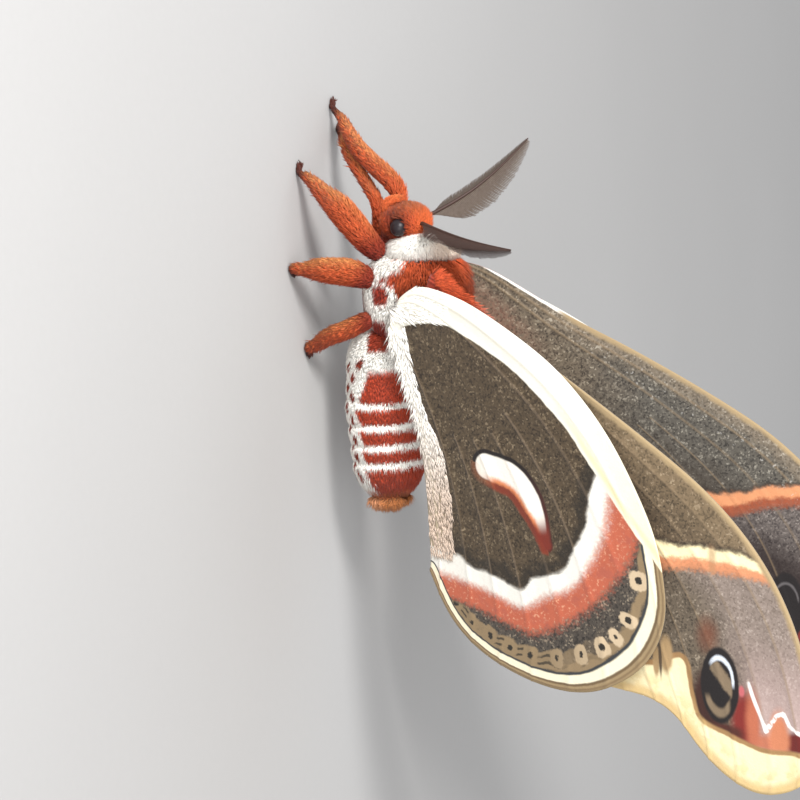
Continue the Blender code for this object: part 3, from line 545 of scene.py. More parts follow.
def wing_fields(shape, kind, places):
    """What the wing's materials read at each place: how far it is from each marking's edge."""
    rim = shape["outer"] if kind == "forewing" else shape["costa"][-2:-1] + shape["outer"]
    rim = smooth_line(rim, 140)
    margin, along = line_distance(places, rounded(rim))
    margin = np.abs(margin)
    costa = np.abs(off(places, shape["costa"], 120))
    if kind == "forewing":
        marks = FORE_MARKS
        centre, size = np.array(marks["spot"])
        ring = (places - centre) / size
        cream = off(places, marks["cream_margin"], 90)
        zigzag = np.abs(line_distance(places, marks["zigzag"])[0])
        fields = {"bands": (zone_count(places, marks["zones"], 3.0), margin, -cream),
                  "spots": (np.linalg.norm(ring, axis=-1), ring[..., 1], zigzag),
                  "extra": (along, costa, ring[..., 0])}
    else:
        marks = HIND_MARKS
        moon, moon_along = line_distance(places, smooth_line(marks["crescent"], 40))
        reach = np.interp(moon_along, (0, 3.0, 8.0, 12.5), (1.5, 1.65, 1.35, 0.35))
        ring = np.full(margin.shape, 9.0)
        for dot in marks["dots"]:
            deep, at = line_distance(np.array(dot), rim)
            ring = np.minimum(ring, ((np.abs(along - at) / 1.1) ** 3
                                     + np.abs(margin - abs(deep)) ** 3) ** (1 / 3))
        fields = {"bands": (zone_count(places, marks["zones"], 6.0, margin), margin,
                            off(places, marks["costal_band"], 90)),
                  "spots": (np.abs(moon) - reach, moon, off(places, marks["anal_strip"], 60)),
                  "extra": (along, costa, moon_along), "chain": (ring, ring, ring)}
    return {name: np.stack(three, axis=-1) for name, three in fields.items()}


def vein_distance(shape, places):
    """How far each place is from the nearest vein, in millimetres."""
    t = np.linspace(0, 1, WING_COLUMNS)[None]
    s = np.linspace(0, 1, WING_ROWS)[:, None]
    wide = np.linalg.norm(places[:, 0] - places[:, -1], axis=1)[:, None]
    nearest = np.full(places.shape[:2], 9.0)
    for at, begin in shape["veins"]:
        fade = np.where(s < begin, 9.0, 0.0) if begin else 0.0
        nearest = np.minimum(nearest, np.abs(t - at) * wide + fade)
    return nearest


def wing(kind, shape, side, hand):
    """A wing as one thin solid, its veins raised and its membrane pleated between them."""
    name = kind + "_" + hand
    places = patch(shape)
    vein = vein_distance(shape, places)
    fields = wing_fields(shape, kind, places)
    margin = fields["bands"][..., 1]
    ridge = VEIN_RIDGE * np.exp(-(vein / VEIN_WIDTH) ** 2)
    pleat = PLEAT * np.minimum(vein / 2.0, 1) * (1 - np.exp(-margin / 4))
    thick = WING_HALF_THICK * (0.55 + 0.45 * step(0, 3.0, margin))
    a, b = swing(name, places[..., 0], places[..., 1])
    sheets = [on_wing(a, b, side, shape["out"], face * (thick + ridge) - pleat).reshape(-1, 3)
              for face in (LEFT, RIGHT)]
    count = WING_ROWS * WING_COLUMNS
    grid = np.arange(count).reshape(WING_ROWS, WING_COLUMNS)
    inward = count + np.stack([grid[:-1, :-1], grid[:-1, 1:], grid[1:, 1:], grid[1:, :-1]],
                              axis=-1).reshape(-1, 4)
    outward = inward[:, ::-1] - count
    rim = np.concatenate([grid[0], grid[1:, -1], grid[-1, -2::-1], grid[-2:0:-1, 0]])
    after = np.roll(rim, -1)
    edge = np.stack([rim, after, after + count, rim + count], axis=1)
    if side == RIGHT:
        outward, inward, edge = outward[:, ::-1], inward[:, ::-1], edge[:, ::-1]
    thing = add(name + "_wing", np.concatenate(sheets), [outward, inward, edge])
    fields["place"] = np.concatenate([places, vein[..., None]], axis=-1)
    for label, field in fields.items():
        note(thing, label, np.concatenate([field.reshape(-1, 3)] * 2))
    thing.data.materials.append(MATERIALS[kind + "_under"])
    thing.data.materials.append(MATERIALS[kind + "_upper"])
    slots = np.zeros(len(thing.data.polygons), np.int32)
    slots[len(inward):2 * len(inward)] = 1
    thing.data.polygons.foreach_set("material_index", slots)
    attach(thing, "root")
    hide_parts(name)


# Coat: every tuft is a small closed blade with a ridge, its root sunk in the skin

TUFT_QUADS = np.array(((0, 3, 4, 1), (1, 4, 5, 2), (2, 5, 3, 0)))
TUFT_TRIS = np.array(((3, 6, 4), (4, 6, 5), (5, 6, 3), (0, 1, 2)))
TUFT_MAP = np.array(((-1, -1), (1, -1), (0, -0.7), (-0.8, 0.1), (0.8, 0.1), (0, 0.3), (0, 1))) * 0.0015
# How far along a tuft each point lies, 0 at the root; the coat's painted shade darkens the hair towards the
# root.
TUFT_REACH = (0.0, 0.0, 0.1, 0.5, 0.5, 0.55, 1.0)


def coat(name, roots, normals, lies, marks, unwrap, length, lift, width, slot, spread):
    """Tufts on their roots: lift is how far a tip stands off, spread how far the ways scatter."""
    count = len(roots)

    def column(value):
        return np.broadcast_to(np.asarray(value, float), (count,))[:, None]

    lies = unit(lies - normals * (lies * normals).sum(1, keepdims=True))
    lies = unit(lies + np.cross(normals, lies) * RNG.normal(0, spread, (count, 1)))
    across = np.cross(normals, lies)
    length = column(length) * RNG.uniform(0.7, 1.25, (count, 1))
    lift = column(lift) * RNG.uniform(0.55, 1.15, (count, 1))
    width = column(width)
    half = across * (width / 2) * RNG.uniform(0.7, 1.2, (count, 1))
    thick = normals * width * 0.45
    base = roots - normals * ROOT_DEPTH - lies * 0.1
    middle = roots + lies * length * 0.45 + normals * lift * 0.7
    tip = roots + lies * length + normals * lift
    points = np.stack([base + half, base - half, base + thick, middle + half * 0.8, middle - half * 0.8,
                       middle + thick * 0.7, tip], axis=1)
    points[..., 2] = np.maximum(points[..., 2], FLOOR_GAP)
    shift = (np.arange(count) * 7)[:, None, None]
    thing = add(name, points.reshape(-1, 3), [(TUFT_QUADS + shift).reshape(-1, 4),
                                             (TUFT_TRIS + shift).reshape(-1, 3)])
    shade = np.repeat(RNG.uniform(0, 1, count), 7)
    note(thing, "marks", np.repeat(marks[:, :3], 7, axis=0))
    note(thing, "hair", np.stack([shade, np.tile(TUFT_REACH, count), np.repeat(marks[:, 3], 7)], axis=1))
    layer = thing.data.uv_layers.new(name="OFBake")
    corners = np.empty(len(thing.data.loops), np.int32)
    thing.data.loops.foreach_get("vertex_index", corners)
    places = 0.02 + 0.96 * unwrap
    layer.data.foreach_set("uv", (places[corners // 7] + TUFT_MAP[corners % 7]).astype(np.float32).ravel())
    thing.data.materials.append(MATERIALS["coat"])
    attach(thing, "root")


def on_ball(shape, count):
    """Roots over a stretched ball, with the way out of it and its unwrap."""
    way = unit(RNG.normal(0, 1, (count, 3)))
    p, radii = shape["boxy"], skin_radii(shape)
    flat = way / (np.abs(way) ** p).sum(1, keepdims=True) ** (1 / p)
    out = unit(np.sign(flat) * np.abs(flat) ** (p - 1) / radii)
    unwrap = np.stack([np.arctan2(way[:, 0], way[:, 2]) / (2 * math.pi) + 0.5, (way[:, 1] + 1) / 2], axis=1)
    return flat * radii + shape["centre"], out, unwrap


def on_tube(line, count, first=0.0, last=1.0):
    """Roots over a tube, with the ways out of it and along it, the share along and its unwrap."""
    way, over, side = tube_frames(line)
    stations = np.linspace(0, 1, len(line))
    weight = np.interp(np.linspace(first, last, 400), stations, line[:, 3])
    cut = np.cumsum(weight) / weight.sum()
    share = np.interp(RNG.uniform(0, 1, count), cut, np.linspace(first, last, 400))
    angle = RNG.uniform(0, 2 * math.pi, count)
    middle, ways = at_places(share, stations, line), unit(at_places(share, stations, way))
    length = np.linalg.norm(np.diff(line[:, :3], axis=0), axis=1).sum()
    slope = np.interp(share, stations, np.gradient(line[:, 3]) * (len(line) - 1) / length)
    out = (at_places(share, stations, over) * np.cos(angle)[:, None]
           + at_places(share, stations, side) * np.sin(angle)[:, None])
    roots = middle[:, :3] + out * middle[:, 3:]
    unwrap = np.stack([angle / (2 * math.pi), (share - first) / (last - first)], axis=1)
    return roots, unit(out - ways * slope[:, None]), ways, share, unwrap


def pair(parts):
    """The rows of two like parts put together, with each part's unwrap in its own half."""
    rows = [np.concatenate(row) for row in zip(*parts)]
    rows[-1] = rows[-1] * (0.48, 1) + np.repeat(((0.0, 0.0), (0.5, 0.0)), len(parts[0][0]), axis=0)
    return rows


def inside_ball(points, shape, grow=0.0):
    return (np.abs((points - shape["centre"]) / (skin_radii(shape) + grow)) ** shape["boxy"]).sum(1) < 1


def inside_tube(points, line, grow=0.0):
    near = [np.linalg.norm(points - station[:3], axis=1) - station[3] for station in line[::2]]
    return np.min(near, axis=0) < grow


def keep(chosen, *rows):
    return [row[chosen] for row in rows]


# Materials

def group(name, inputs, outputs, build):
    """A shared effect, built once: build(bench, inlet, outlet) wires it."""
    tree = bpy.data.node_groups.new(name, "ShaderNodeTree")
    for way, sockets in (("INPUT", inputs), ("OUTPUT", outputs)):
        for label, kind in sockets.items():
            tree.interface.new_socket(label, in_out=way, socket_type="NodeSocket" + kind)
    build(Bench(tree), tree.nodes.new("NodeGroupInput").outputs, tree.nodes.new("NodeGroupOutput").inputs)
    return tree


class Bench:
    """Short words for the nodes that the materials are put together from."""

    def __init__(self, tree):
        self.tree, self.colour = tree, None

    def put(self, socket, value):
        if isinstance(value, bpy.types.NodeSocket):
            self.tree.links.new(value, socket)
        elif socket.type == "RGBA":
            socket.default_value = (*value, 1.0)
        else:
            socket.default_value = value

    def node(self, kind, settings=(), **inputs):
        """A node with its settings, and its inputs by their names."""
        made = self.tree.nodes.new("ShaderNode" + kind)
        for name, value in dict(settings).items():
            setattr(made, name, value)
        for name, value in inputs.items():
            self.put(made.inputs[name], value)
        return made

    def sums(self, operation, *values, clamp=False):
        made = self.node("Math", {"operation": operation, "use_clamp": clamp})
        for socket, value in zip(made.inputs, values):
            self.put(socket, value)
        return made.outputs[0]

    def scaled(self, value, times, plus):
        return self.sums("MULTIPLY_ADD", value, times, plus)

    def read(self, name):
        """The three numbers that a point's note holds."""
        return self.parts(self.node("Attribute", {"attribute_name": name}).outputs["Vector"])

    def parts(self, vector):
        return list(self.node("SeparateXYZ", Vector=vector).outputs)

    def above(self, value, edge, soft):
        """0 to 1 across a soft edge."""
        made = self.node("MapRange", {"interpolation_type": "SMOOTHSTEP"})
        for socket, number in zip(made.inputs, (value, edge - soft, edge + soft)):
            self.put(socket, number)
        return made.outputs[0]

    def below(self, value, edge, soft):
        return self.sums("SUBTRACT", 1.0, self.above(value, edge, soft))

    def within(self, value, low, high, soft):
        return self.both(self.above(value, low, soft), self.below(value, high, soft))

    def both(self, *masks):
        made = masks[0]
        for mask in masks[1:]:
            made = self.sums("MULTIPLY", made, mask)
        return made

    def far(self, u, v, centre, size):
        """How far a place is from a centre, with its two ways measured in their own sizes."""
        ways = [self.sums("DIVIDE", self.sums("SUBTRACT", value, at), wide)
                for value, at, wide in zip((u, v), centre, size)]
        return self.sums("SQRT", self.sums("ADD", *(self.sums("MULTIPLY", way, way) for way in ways)))

    def over(self, below, colour, mask):
        return self.node("Mix", {"data_type": "RGBA"}, Factor=mask, A=below, B=colour).outputs["Result"]

    def lay(self, colour, *masks):
        """Lays a colour over what is there, as far as all the masks let it through."""
        self.colour = self.over(self.colour, colour, self.both(*masks))

    def noise(self, scale, detail):
        return self.node("TexNoise", Vector=self.ground(), Scale=scale, Detail=detail).outputs["Fac"]

    def cells(self, scale, feature, output):
        made = self.node("TexVoronoi", {"feature": feature}, Vector=self.ground(), Scale=scale)
        return made.outputs[output]

    def ground(self):
        return self.node("TexCoord").outputs["Object"]

    def nudge(self, value, noise, amount):
        """The value moved to and fro by a noise, so that an edge isn't drawn with a ruler."""
        return self.scaled(self.sums("SUBTRACT", noise, 0.5), amount, value)

    def place(self, effect, inputs):
        """A shared effect with its inputs."""
        made = self.node("Group", {"node_tree": GROUPS[effect]})
        for label, value in inputs.items():
            self.put(made.inputs[label], value)
        return made.outputs

    def scales(self, dark, middle, light):
        return self.place("scales", {"Dark": dark, "Middle": middle, "Light": light})

    def finish(self, shader, colour, bump=None, **values):
        """Wires colour and bump to the shader; values are its plain numbers, with _ for a space."""
        self.put(shader["Base Color"], colour)
        for name, value in values.items():
            shader[name.replace("_", " ")].default_value = value
        if bump:
            height, strength, distance = bump
            made = self.node("Bump", Height=height, Strength=strength, Distance=distance)
            self.put(shader["Normal"], made.outputs["Normal"])


def material(name, build, *choices):
    made = bpy.data.materials.new(name)
    made.use_nodes = True
    build(Bench(made.node_tree), made.node_tree.nodes["Principled BSDF"].inputs, *choices)
    return made


def wing_scales(bench, inlet, outlet):
    """Speckle of fine scales: dark, middle and light ones, with softer patches among them."""
    fine = bench.node("SeparateColor", Color=bench.cells(4600, "F1", "Color")).outputs[0]
    mix = bench.sums("ADD", bench.sums("MULTIPLY", fine, 0.55),
                     bench.sums("MULTIPLY", bench.noise(1000, 3), 0.6))
    colour = bench.over(inlet["Dark"], inlet["Middle"], bench.above(mix, 0.42, 0.24))
    bench.put(outlet["Color"], bench.over(colour, inlet["Light"], bench.above(mix, 0.84, 0.12)))
    bench.put(outlet["Height"], mix)


def coat_colours(bench, inlet, outlet):
    """The moth's reds, white, dark and gold, with painted shade that darkens each hair from its tip down to
    its root.
    """
    white, dark, gold = bench.parts(inlet["Marks"])
    bench.colour = bench.over((0.48, 0.046, 0.02), (0.8, 0.19, 0.045), inlet["Tint"])
    bench.lay((1.0, 0.97, 0.9), white)
    bench.lay((0.05, 0.012, 0.01), dark)
    bench.lay((1.0, 0.5, 0.17), gold)
    # Painted shade: darker towards each hair's root, with a random tone for each tuft; white hair is lifted
    # back towards full brightness.
    shade = bench.sums("MULTIPLY", bench.scaled(inlet["Random"], 0.46, 0.68),
                       bench.scaled(inlet["Reach"], 0.42, 0.68))
    lit = bench.sums("MULTIPLY_ADD", white, 0.22, shade, clamp=True)
    bench.put(outlet["Color"], bench.over((0, 0, 0), bench.colour, lit))


GROUPS = {
    "scales": group("wing_scales", {"Dark": "Color", "Middle": "Color", "Light": "Color"},
                    {"Color": "Color", "Height": "Float"}, wing_scales),
    "coat": group("coat_colours", {"Marks": "Vector", "Tint": "Float", "Random": "Float", "Reach": "Float"},
                  {"Color": "Color"}, coat_colours),
}


def finish_wing(bench, shader, height):
    bench.finish(shader, bench.colour, (height, 0.5, 0.00008), Roughness=0.72, Sheen_Weight=0.15,
                 Sheen_Roughness=0.5, Specular_IOR_Level=0.25)


def hindwing_looks(bench, shader, upper):
    lay, over, both, nudge, scaled = bench.lay, bench.over, bench.both, bench.nudge, bench.scaled
    above, below, within = bench.above, bench.below, bench.within
    zones, margin, band = bench.read("bands")
    moon, moon_side, pale = bench.read("spots")
    along, costa, moon_along = bench.read("extra")
    back, up, vein = bench.read("place")
    rough, fine, patchy = bench.noise(700, 3), bench.noise(2600, 2), bench.noise(420, 2)
    wavy, ragged = nudge(zones, rough, 0.5), nudge(zones, fine, 0.5)
    white, salmon = (0.77, 0.74, 0.67), (0.45, 0.108, 0.056)
    tan, ink = (0.25, 0.175, 0.095), (0.022, 0.018, 0.013)
    # The gray field is darker at its rim, then come white, salmon and the dark zone
    field = bench.scales((0.024, 0.0155, 0.0085), (0.076, 0.052, 0.029), (0.21, 0.158, 0.098))
    bench.colour = field["Color"]
    lay((0.018, 0.014, 0.01), 0.8, within(wavy, -0.28, 0.0, 0.14))
    lay((0.25, 0.18, 0.12), 0.4, below(vein, 0.1, 0.1))
    lay(white, above(nudge(zones, rough, 0.16), 0.0, 0.07))
    speckled = over(salmon, (0.62, 0.28, 0.17), above(fine, 0.64, 0.1))
    lay(over(speckled, (0.4, 0.1, 0.06), above(rough, 0.6, 0.1)), above(ragged, 0.95, 0.3))
    night = bench.scales((0.02, 0.016, 0.013), (0.07, 0.057, 0.045), (0.26, 0.21, 0.15))["Color"]
    lay(night, above(ragged, 1.93, 0.2))
    # Chain along the margin: dark dots in tan brackets, run together into a band towards the body.
    # The lines of the margin are measured in its widths, which narrow that way.
    ring = nudge(nudge(bench.read("chain")[0], fine, 0.4), bench.noise(520, 1), 0.7)
    low, last = above(along, 23.0, 8.0), above(along, 36.0, 9.0)
    wide = scaled(below(along, 6.5, 4.0), -0.45, scaled(last, -0.24, scaled(low, -0.46, 1.28)))
    rim = bench.sums("DIVIDE", nudge(margin, rough, 0.22), wide)
    inner = nudge(rim, fine, 0.35)
    wave = scaled(bench.sums("SINE", bench.sums("MULTIPLY", along, 1.7)), 0.25, inner)
    chain = above(zones, 2.05, 0.1)
    lay(tan, chain, low, within(wave, 2.3, 4.9, 0.2), 0.9)
    lay(tan, chain, within(nudge(inner, patchy, 1.6), 2.36, 3.5, 0.2))
    broken = above(bench.noise(260, 1), 0.42, 0.03)
    for edge in (2.95, 4.0):
        lay(ink, 0.85, chain, low, broken, within(wave, edge, edge + 0.4, 0.1))
    lay(over((0.56, 0.43, 0.28), tan, low), chain, within(ring, 0.3, 1.12, 0.14))
    lay(ink, chain, below(ring, 0.4, 0.1))
    # Lines that follow the margin: dark, cream, brown and tan
    lay((0.035, 0.037, 0.04), within(rim, 1.98, 2.34, 0.09))
    lay((0.84, 0.76, 0.56), within(rim, 0.95, 2.02, 0.12))
    lay((0.15, 0.095, 0.045), within(rim, 0.66, 0.95, 0.12))
    lay((0.31, 0.22, 0.115), below(rim, 0.7, 0.1))
    lay((0.17, 0.11, 0.055), 0.7, within(rim, 0.22, 0.42, 0.1))
    # Pale strip along the body
    strip = over((0.78, 0.74, 0.66), (0.42, 0.34, 0.235), above(back, 16.0, 10.0))
    lay(strip, below(nudge(pale, rough, 1.2), 0.1, 0.6), below(zones, 0.0, 0.03))
    # Crescent
    edge = nudge(moon, rough, 0.14)
    halo = over((0.01, 0.006, 0.005), (0.05, 0.012, 0.008), above(moon_along, 6.5, 2.5))
    lay(halo, within(edge, -0.1, 0.5, 0.12), above(moon_side, -0.2, 0.5))
    lay((0.84, 0.79, 0.7), below(edge, -0.05, 0.14))
    under = both(above(moon_along, 0.7, 1.4), below(moon_side, -0.2, 0.5))
    rust = nudge(edge, fine, 0.3)
    lay((0.6, 0.2, 0.08), under, within(rust, -0.62, 0.5, 0.35))
    lay((0.17, 0.028, 0.012), under, within(rust, -0.12, 0.75, 0.22))
    lay((0.16, 0.02, 0.01), above(moon_along, 10.4, 1.4), below(edge, 0.3, 0.3))
    # White band along the costa, cream towards the wing's tip
    if upper:
        lay(white, below(costa, 0.6, 0.12))
    else:
        cream = bench.sums("ADD", bench.sums("MULTIPLY", above(up, 30.0, 8.0), 0.8),
                           bench.sums("MULTIPLY", rough, 0.4), clamp=True)
        lay(over((0.82, 0.8, 0.72), (0.8, 0.73, 0.52), cream), above(nudge(band, rough, 0.25), 0.0, 0.1))
        lay((0.85, 0.65, 0.3), within(band, 0.4, 1.0, 0.25), above(up, 25.0, 3.0), 0.55)
    finish_wing(bench, shader, field["Height"])


def forewing_looks(bench, shader, upper):
    lay, over, both, nudge, scaled = bench.lay, bench.over, bench.both, bench.nudge, bench.scaled
    above, below, within = bench.above, bench.below, bench.within
    zones, margin, cream = bench.read("bands")
    ring, ring_up, zigzag = bench.read("spots")
    costa, ring_back = bench.read("extra")[1:]
    back, up, vein = bench.read("place")
    rough, fine, patchy = bench.noise(700, 3), bench.noise(2600, 2), bench.noise(260, 2)

    def tones(*three):
        return bench.scales(*three)["Color"]

    def blob(centre, size, soft):
        return below(nudge(bench.far(back, up, centre, size), rough, 0.3), 1.0, soft)

    # Field, and what lies beyond the band: dark on the upper side, on the underside gray-brown
    # that turns lilac towards the costa and the tip
    if upper:
        field = bench.scales((0.03, 0.026, 0.022), (0.097, 0.086, 0.07), (0.27, 0.246, 0.2))
        warm = tones((0.036, 0.026, 0.018), (0.13, 0.1, 0.068), (0.3, 0.25, 0.18))
        bench.colour = over(warm, field["Color"], above(nudge(up, patchy, 6.0), 22.0, 6.0))
        tanned = tones((0.1, 0.078, 0.055), (0.22, 0.175, 0.125), (0.4, 0.35, 0.28))
        lay(tanned, 0.8, below(nudge(costa, rough, 1.6), 1.9, 0.9), above(up, 14.0, 6.0))
        # Painted shadow: a dark band on the upper side away from the costa, where the left forewing shades
        # the right one.
        lay((0.045, 0.032, 0.022), 0.75, above(nudge(costa, patchy, 3.0), 8.5, 3.5))
        zones = scaled(below(up, 39.5, 5.0), -0.36, zones)
        beyond = tones((0.04, 0.032, 0.03), (0.115, 0.095, 0.085), (0.26, 0.225, 0.2))
        night = above(scaled(costa, 0.9, nudge(back, rough, 3.0)), 42.0, 4.5)
        beyond = over(beyond, (0.017, 0.009, 0.008), both(0.9, night))
        orange, pale = (0.3, 0.07, 0.028), (0.62, 0.26, 0.12)
    else:
        field = bench.scales((0.035, 0.025, 0.015), (0.104, 0.072, 0.042), (0.235, 0.172, 0.108))
        bench.colour = field["Color"]
        tanned = tones((0.092, 0.065, 0.036), (0.19, 0.134, 0.077), (0.31, 0.235, 0.15))
        lay(tanned, below(nudge(costa, rough, 2.5), 3.6, 2.6))
        beyond = tones((0.165, 0.127, 0.102), (0.252, 0.198, 0.166), (0.365, 0.3, 0.258))
        pink = over(beyond, (0.53, 0.385, 0.36), both(0.6, above(back, 40.0, 6.0)))
        plain = tones((0.05, 0.038, 0.026), (0.13, 0.1, 0.07), (0.27, 0.22, 0.16))
        beyond = over(plain, pink, below(nudge(costa, patchy, 3.0), 8.0, 2.5))
        orange, pale = (0.68, 0.27, 0.13), (0.88, 0.76, 0.46)
    wavy, ragged = nudge(zones, rough, 0.35), nudge(zones, fine, 0.55)
    lay(beyond, above(ragged, 0.9, 0.2))
    lay((0.27, 0.19, 0.11), 0.45, below(vein, 0.12, 0.12))
    # Band: cream over orange, with a gap on the underside
    lay(orange, within(ragged, 0.25, 0.92, 0.2), scaled(above(fine, 0.5, 0.2), 0.25, 0.75))
    lay(pale, within(nudge(wavy, fine, 0.25), 0.0, 0.48, 0.13))
    lay((0.03, 0.02, 0.015), 0.6, within(wavy, -0.16, 0.0, 0.07))
    if not upper:
        lay((0.36, 0.19, 0.09), within(zones, -0.1, 1.0, 0.2), blob((28.0, 42.2), (2.4, 0.45), 0.6), 0.6)
    # Root: pinkish low down on the upper side, red along the costa on the underside
    if upper:
        low = nudge(bench.sums("SUBTRACT", up, back), rough, 2.0)
        lay((0.3, 0.13, 0.085), 0.35, below(low, 7.0, 1.6), below(up, 13.0, 4.0), above(fine, 0.4, 0.25))
        flecks = above(bench.noise(1900, 2), 0.68, 0.05)
        lay((0.6, 0.58, 0.54), 0.4, flecks, within(costa, 1.4, 4.0, 0.9), above(up, 20.0, 4.0))
        thin_line = over((0.86, 0.83, 0.77), (0.36, 0.27, 0.16), above(up, 16.5, 1.0))
        lay(thin_line, below(nudge(costa, rough, 0.15), 0.27, 0.07), above(up, 7.0, 1.0))
    else:
        red = over((0.36, 0.045, 0.02), (0.4, 0.2, 0.14), above(up, 15.5, 3.0))
        lay(red, below(nudge(up, rough, 4.0), 17.5, 3.0), below(costa, 4.5, 1.0))
    # Costal edge
    lay((0.36, 0.26, 0.14), below(nudge(costa, rough, 0.6), 0.6, 0.3), above(up, 17.5, 1.5))
    # Wide cream margin, with a golden line before it and a golden rim
    edge = nudge(cream, rough, 0.4)
    lay((0.33, 0.19, 0.08), above(edge, -0.7, 0.15))
    lay((0.84, 0.73, 0.45), above(edge, -0.05, 0.13))
    lay((0.6, 0.42, 0.19), 0.9, below(nudge(margin, rough, 0.8), 1.0, 0.45))
    lay((0.66, 0.47, 0.2), 0.5, below(margin, 2.6, 0.9), above(rough, 0.5, 0.1))
    for tint, *place in FORE_MARKS["smudges"]:
        lay(tint, blob(*place))
    # Round the eyespot: a small streak before it, then reds, salmon lobes and a pink dash
    inside = below(cream, -0.6, 0.2)
    if not upper:
        lay((0.15, 0.055, 0.03), 0.85, blob((36.3, 41.3), (1.7, 1.1), 0.8))
    for tint, *place in FORE_MARKS["lobes"]:
        lay(tint, inside, blob(*place))
    lay((0.85, 0.8, 0.76), inside, below(nudge(zigzag, rough, 0.12), 0.22, 0.1))
    # Eyespot: black, with a blue-white crescent at its top, a tan streak under that and a tan arc at its foot
    spot = nudge(ring, rough, 0.08)
    lay((0.012, 0.009, 0.009), below(spot, 1.0, 0.06))
    if upper:
        lay((0.1, 0.09, 0.09), within(spot, 0.66, 0.74, 0.04), below(ring_back, -0.16, 0.1))
    else:
        tan, slant = (0.2, 0.145, 0.09), scaled(ring_up, -0.68, ring_back)
        lay(tan, below(spot, 0.66, 0.06), within(nudge(slant, fine, 0.15), -0.58, -0.1, 0.08))
        lay(tan, within(spot, 0.6, 0.84, 0.06), above(ring_back, 0.3, 0.12), below(ring_up, 0.5, 0.12))
        lay((0.6, 0.64, 0.7), within(spot, 0.66, 0.79, 0.04), below(nudge(slant, rough, 0.1), -0.26, 0.15),
            below(ring_back, 0.0, 0.1))
    finish_wing(bench, shader, field["Height"])


def hair_colour(bench, random, reach):
    """The colour that the notes on a point call for."""
    marks = bench.node("Attribute", {"attribute_name": "marks"}).outputs["Vector"]
    return bench.place("coat", {"Marks": marks, "Tint": bench.read("hair")[2], "Random": random,
                                "Reach": reach})["Color"]


def coat_looks(bench, shader):
    bench.finish(shader, hair_colour(bench, *bench.read("hair")[:2]), Roughness=0.6, Specular_IOR_Level=0.2,
                 Sheen_Weight=0.06)


def skin_looks(bench, shader):
    strands = bench.noise(3000, 3)
    # The skin takes the painted shade of the hair near its roots.
    bench.finish(shader, hair_colour(bench, strands, 0.15), (strands, 0.6, 0.0001), Roughness=0.8)


def stalk_looks(bench, shader):
    grain = bench.noise(2500, 3)
    bench.finish(shader, bench.over((0.02, 0.007, 0.004), (0.055, 0.02, 0.01), grain), (grain, 0.4, 0.00005),
                 Roughness=0.55)


def comb_looks(bench, shader, dark, light):
    grain = bench.noise(3200, 3)
    bench.finish(shader, bench.over(dark, light, grain), (grain, 0.3, 0.00004), Roughness=0.65)


def eye_looks(bench, shader):
    facets = bench.cells(9000, "DISTANCE_TO_EDGE", "Distance")
    colour = bench.over((0.006, 0.004, 0.005), (0.024, 0.015, 0.018), bench.noise(600, 2))
    bench.finish(shader, colour, (facets, 0.35, 0.00003), Roughness=0.36, Specular_IOR_Level=0.35)


def claw_looks(bench, shader):
    bench.finish(shader, bench.over((0.018, 0.009, 0.006), (0.06, 0.03, 0.02), bench.noise(2000, 2)),
                 Roughness=0.35)


def floor_looks(bench, shader):
    cloud, grain = bench.noise(9, 4), bench.noise(900, 3)
    colour = bench.over((0.4, 0.39, 0.38), (0.46, 0.45, 0.44), cloud)
    colour = bench.over(colour, (0.38, 0.37, 0.36), bench.sums("MULTIPLY", grain, 0.25))
    bench.finish(shader, colour, (grain, 0.15, 0.0001), Roughness=0.75)


MATERIALS = {key: material(*built) for key, *built in (
    ("hindwing_under", "hindwing_underside", hindwing_looks, False),
    ("hindwing_upper", "hindwing_upperside", hindwing_looks, True),
    ("forewing_under", "forewing_underside", forewing_looks, False),
    ("forewing_upper", "forewing_upperside", forewing_looks, True),
    ("coat", "coat_hair", coat_looks),
    ("skin", "moth_skin", skin_looks),
    ("stalk", "feeler_stalk", stalk_looks),
    ("comb_right", "feeler_comb", comb_looks, (0.065, 0.042, 0.03), (0.17, 0.13, 0.1)),
    ("comb_left", "feeler_comb_shaded", comb_looks, (0.017, 0.006, 0.003), (0.06, 0.024, 0.014)),
    ("eye", "compound_eye", eye_looks),
    ("claw", "claw_horn", claw_looks),
    ("floor", "studio_floor", floor_looks),
)}


# Wings in place

for side, hand in SIDES:
    wing("forewing", FOREWING, side, hand)
for side, hand in SIDES:
    wing("hindwing", HINDWING, side, hand)


# Skin: one smooth body from head to claspers, with the legs

LEG_LINES = {name: leg_line(stations, LEG_SKIN) for name, stations in LEGS.items()}
BELLY = abdomen_line(ABDOMEN_COAT)
PALPS = [palp_line(side) for side in (LEFT, RIGHT)]
CLASPERS = [clasper(side) for side in (LEFT, RIGHT)]


def shrunk(shape):
    return ball(shape["centre"], skin_radii(shape), shape["boxy"])


def body_skin():
    """One closed skin over the body's balls and tubes, its seams smoothed."""
    lines = [*LEG_LINES.values(), *PALPS, smooth_line(NECK, 10), smooth_line(WAIST, 10)]
    rough = add("rough", *joined([shrunk(THORAX), shrunk(COLLAR), shrunk(HEAD), tube(BELLY, across=48),
                                  *(shrunk(lobe) for lobe in CLASPERS), *(tube(line) for line in lines)]))
    remesh = rough.modifiers.new("Skin", "REMESH")
    remesh.mode, remesh.voxel_size = "VOXEL", SKIN_CELL * MM
    soften = rough.modifiers.new("Soften", "SMOOTH")
    soften.factor, soften.iterations = 0.5, 5
    bpy.context.view_layer.update()
    mesh = bpy.data.meshes.new_from_object(rough.evaluated_get(bpy.context.evaluated_depsgraph_get()))
    bpy.data.objects.remove(rough)
    mesh.name = "moth_skin"
    mesh.shade_smooth()
    skin = bpy.data.objects.new("moth_skin", mesh)
    bpy.context.scene.collection.objects.link(skin)
    return skin


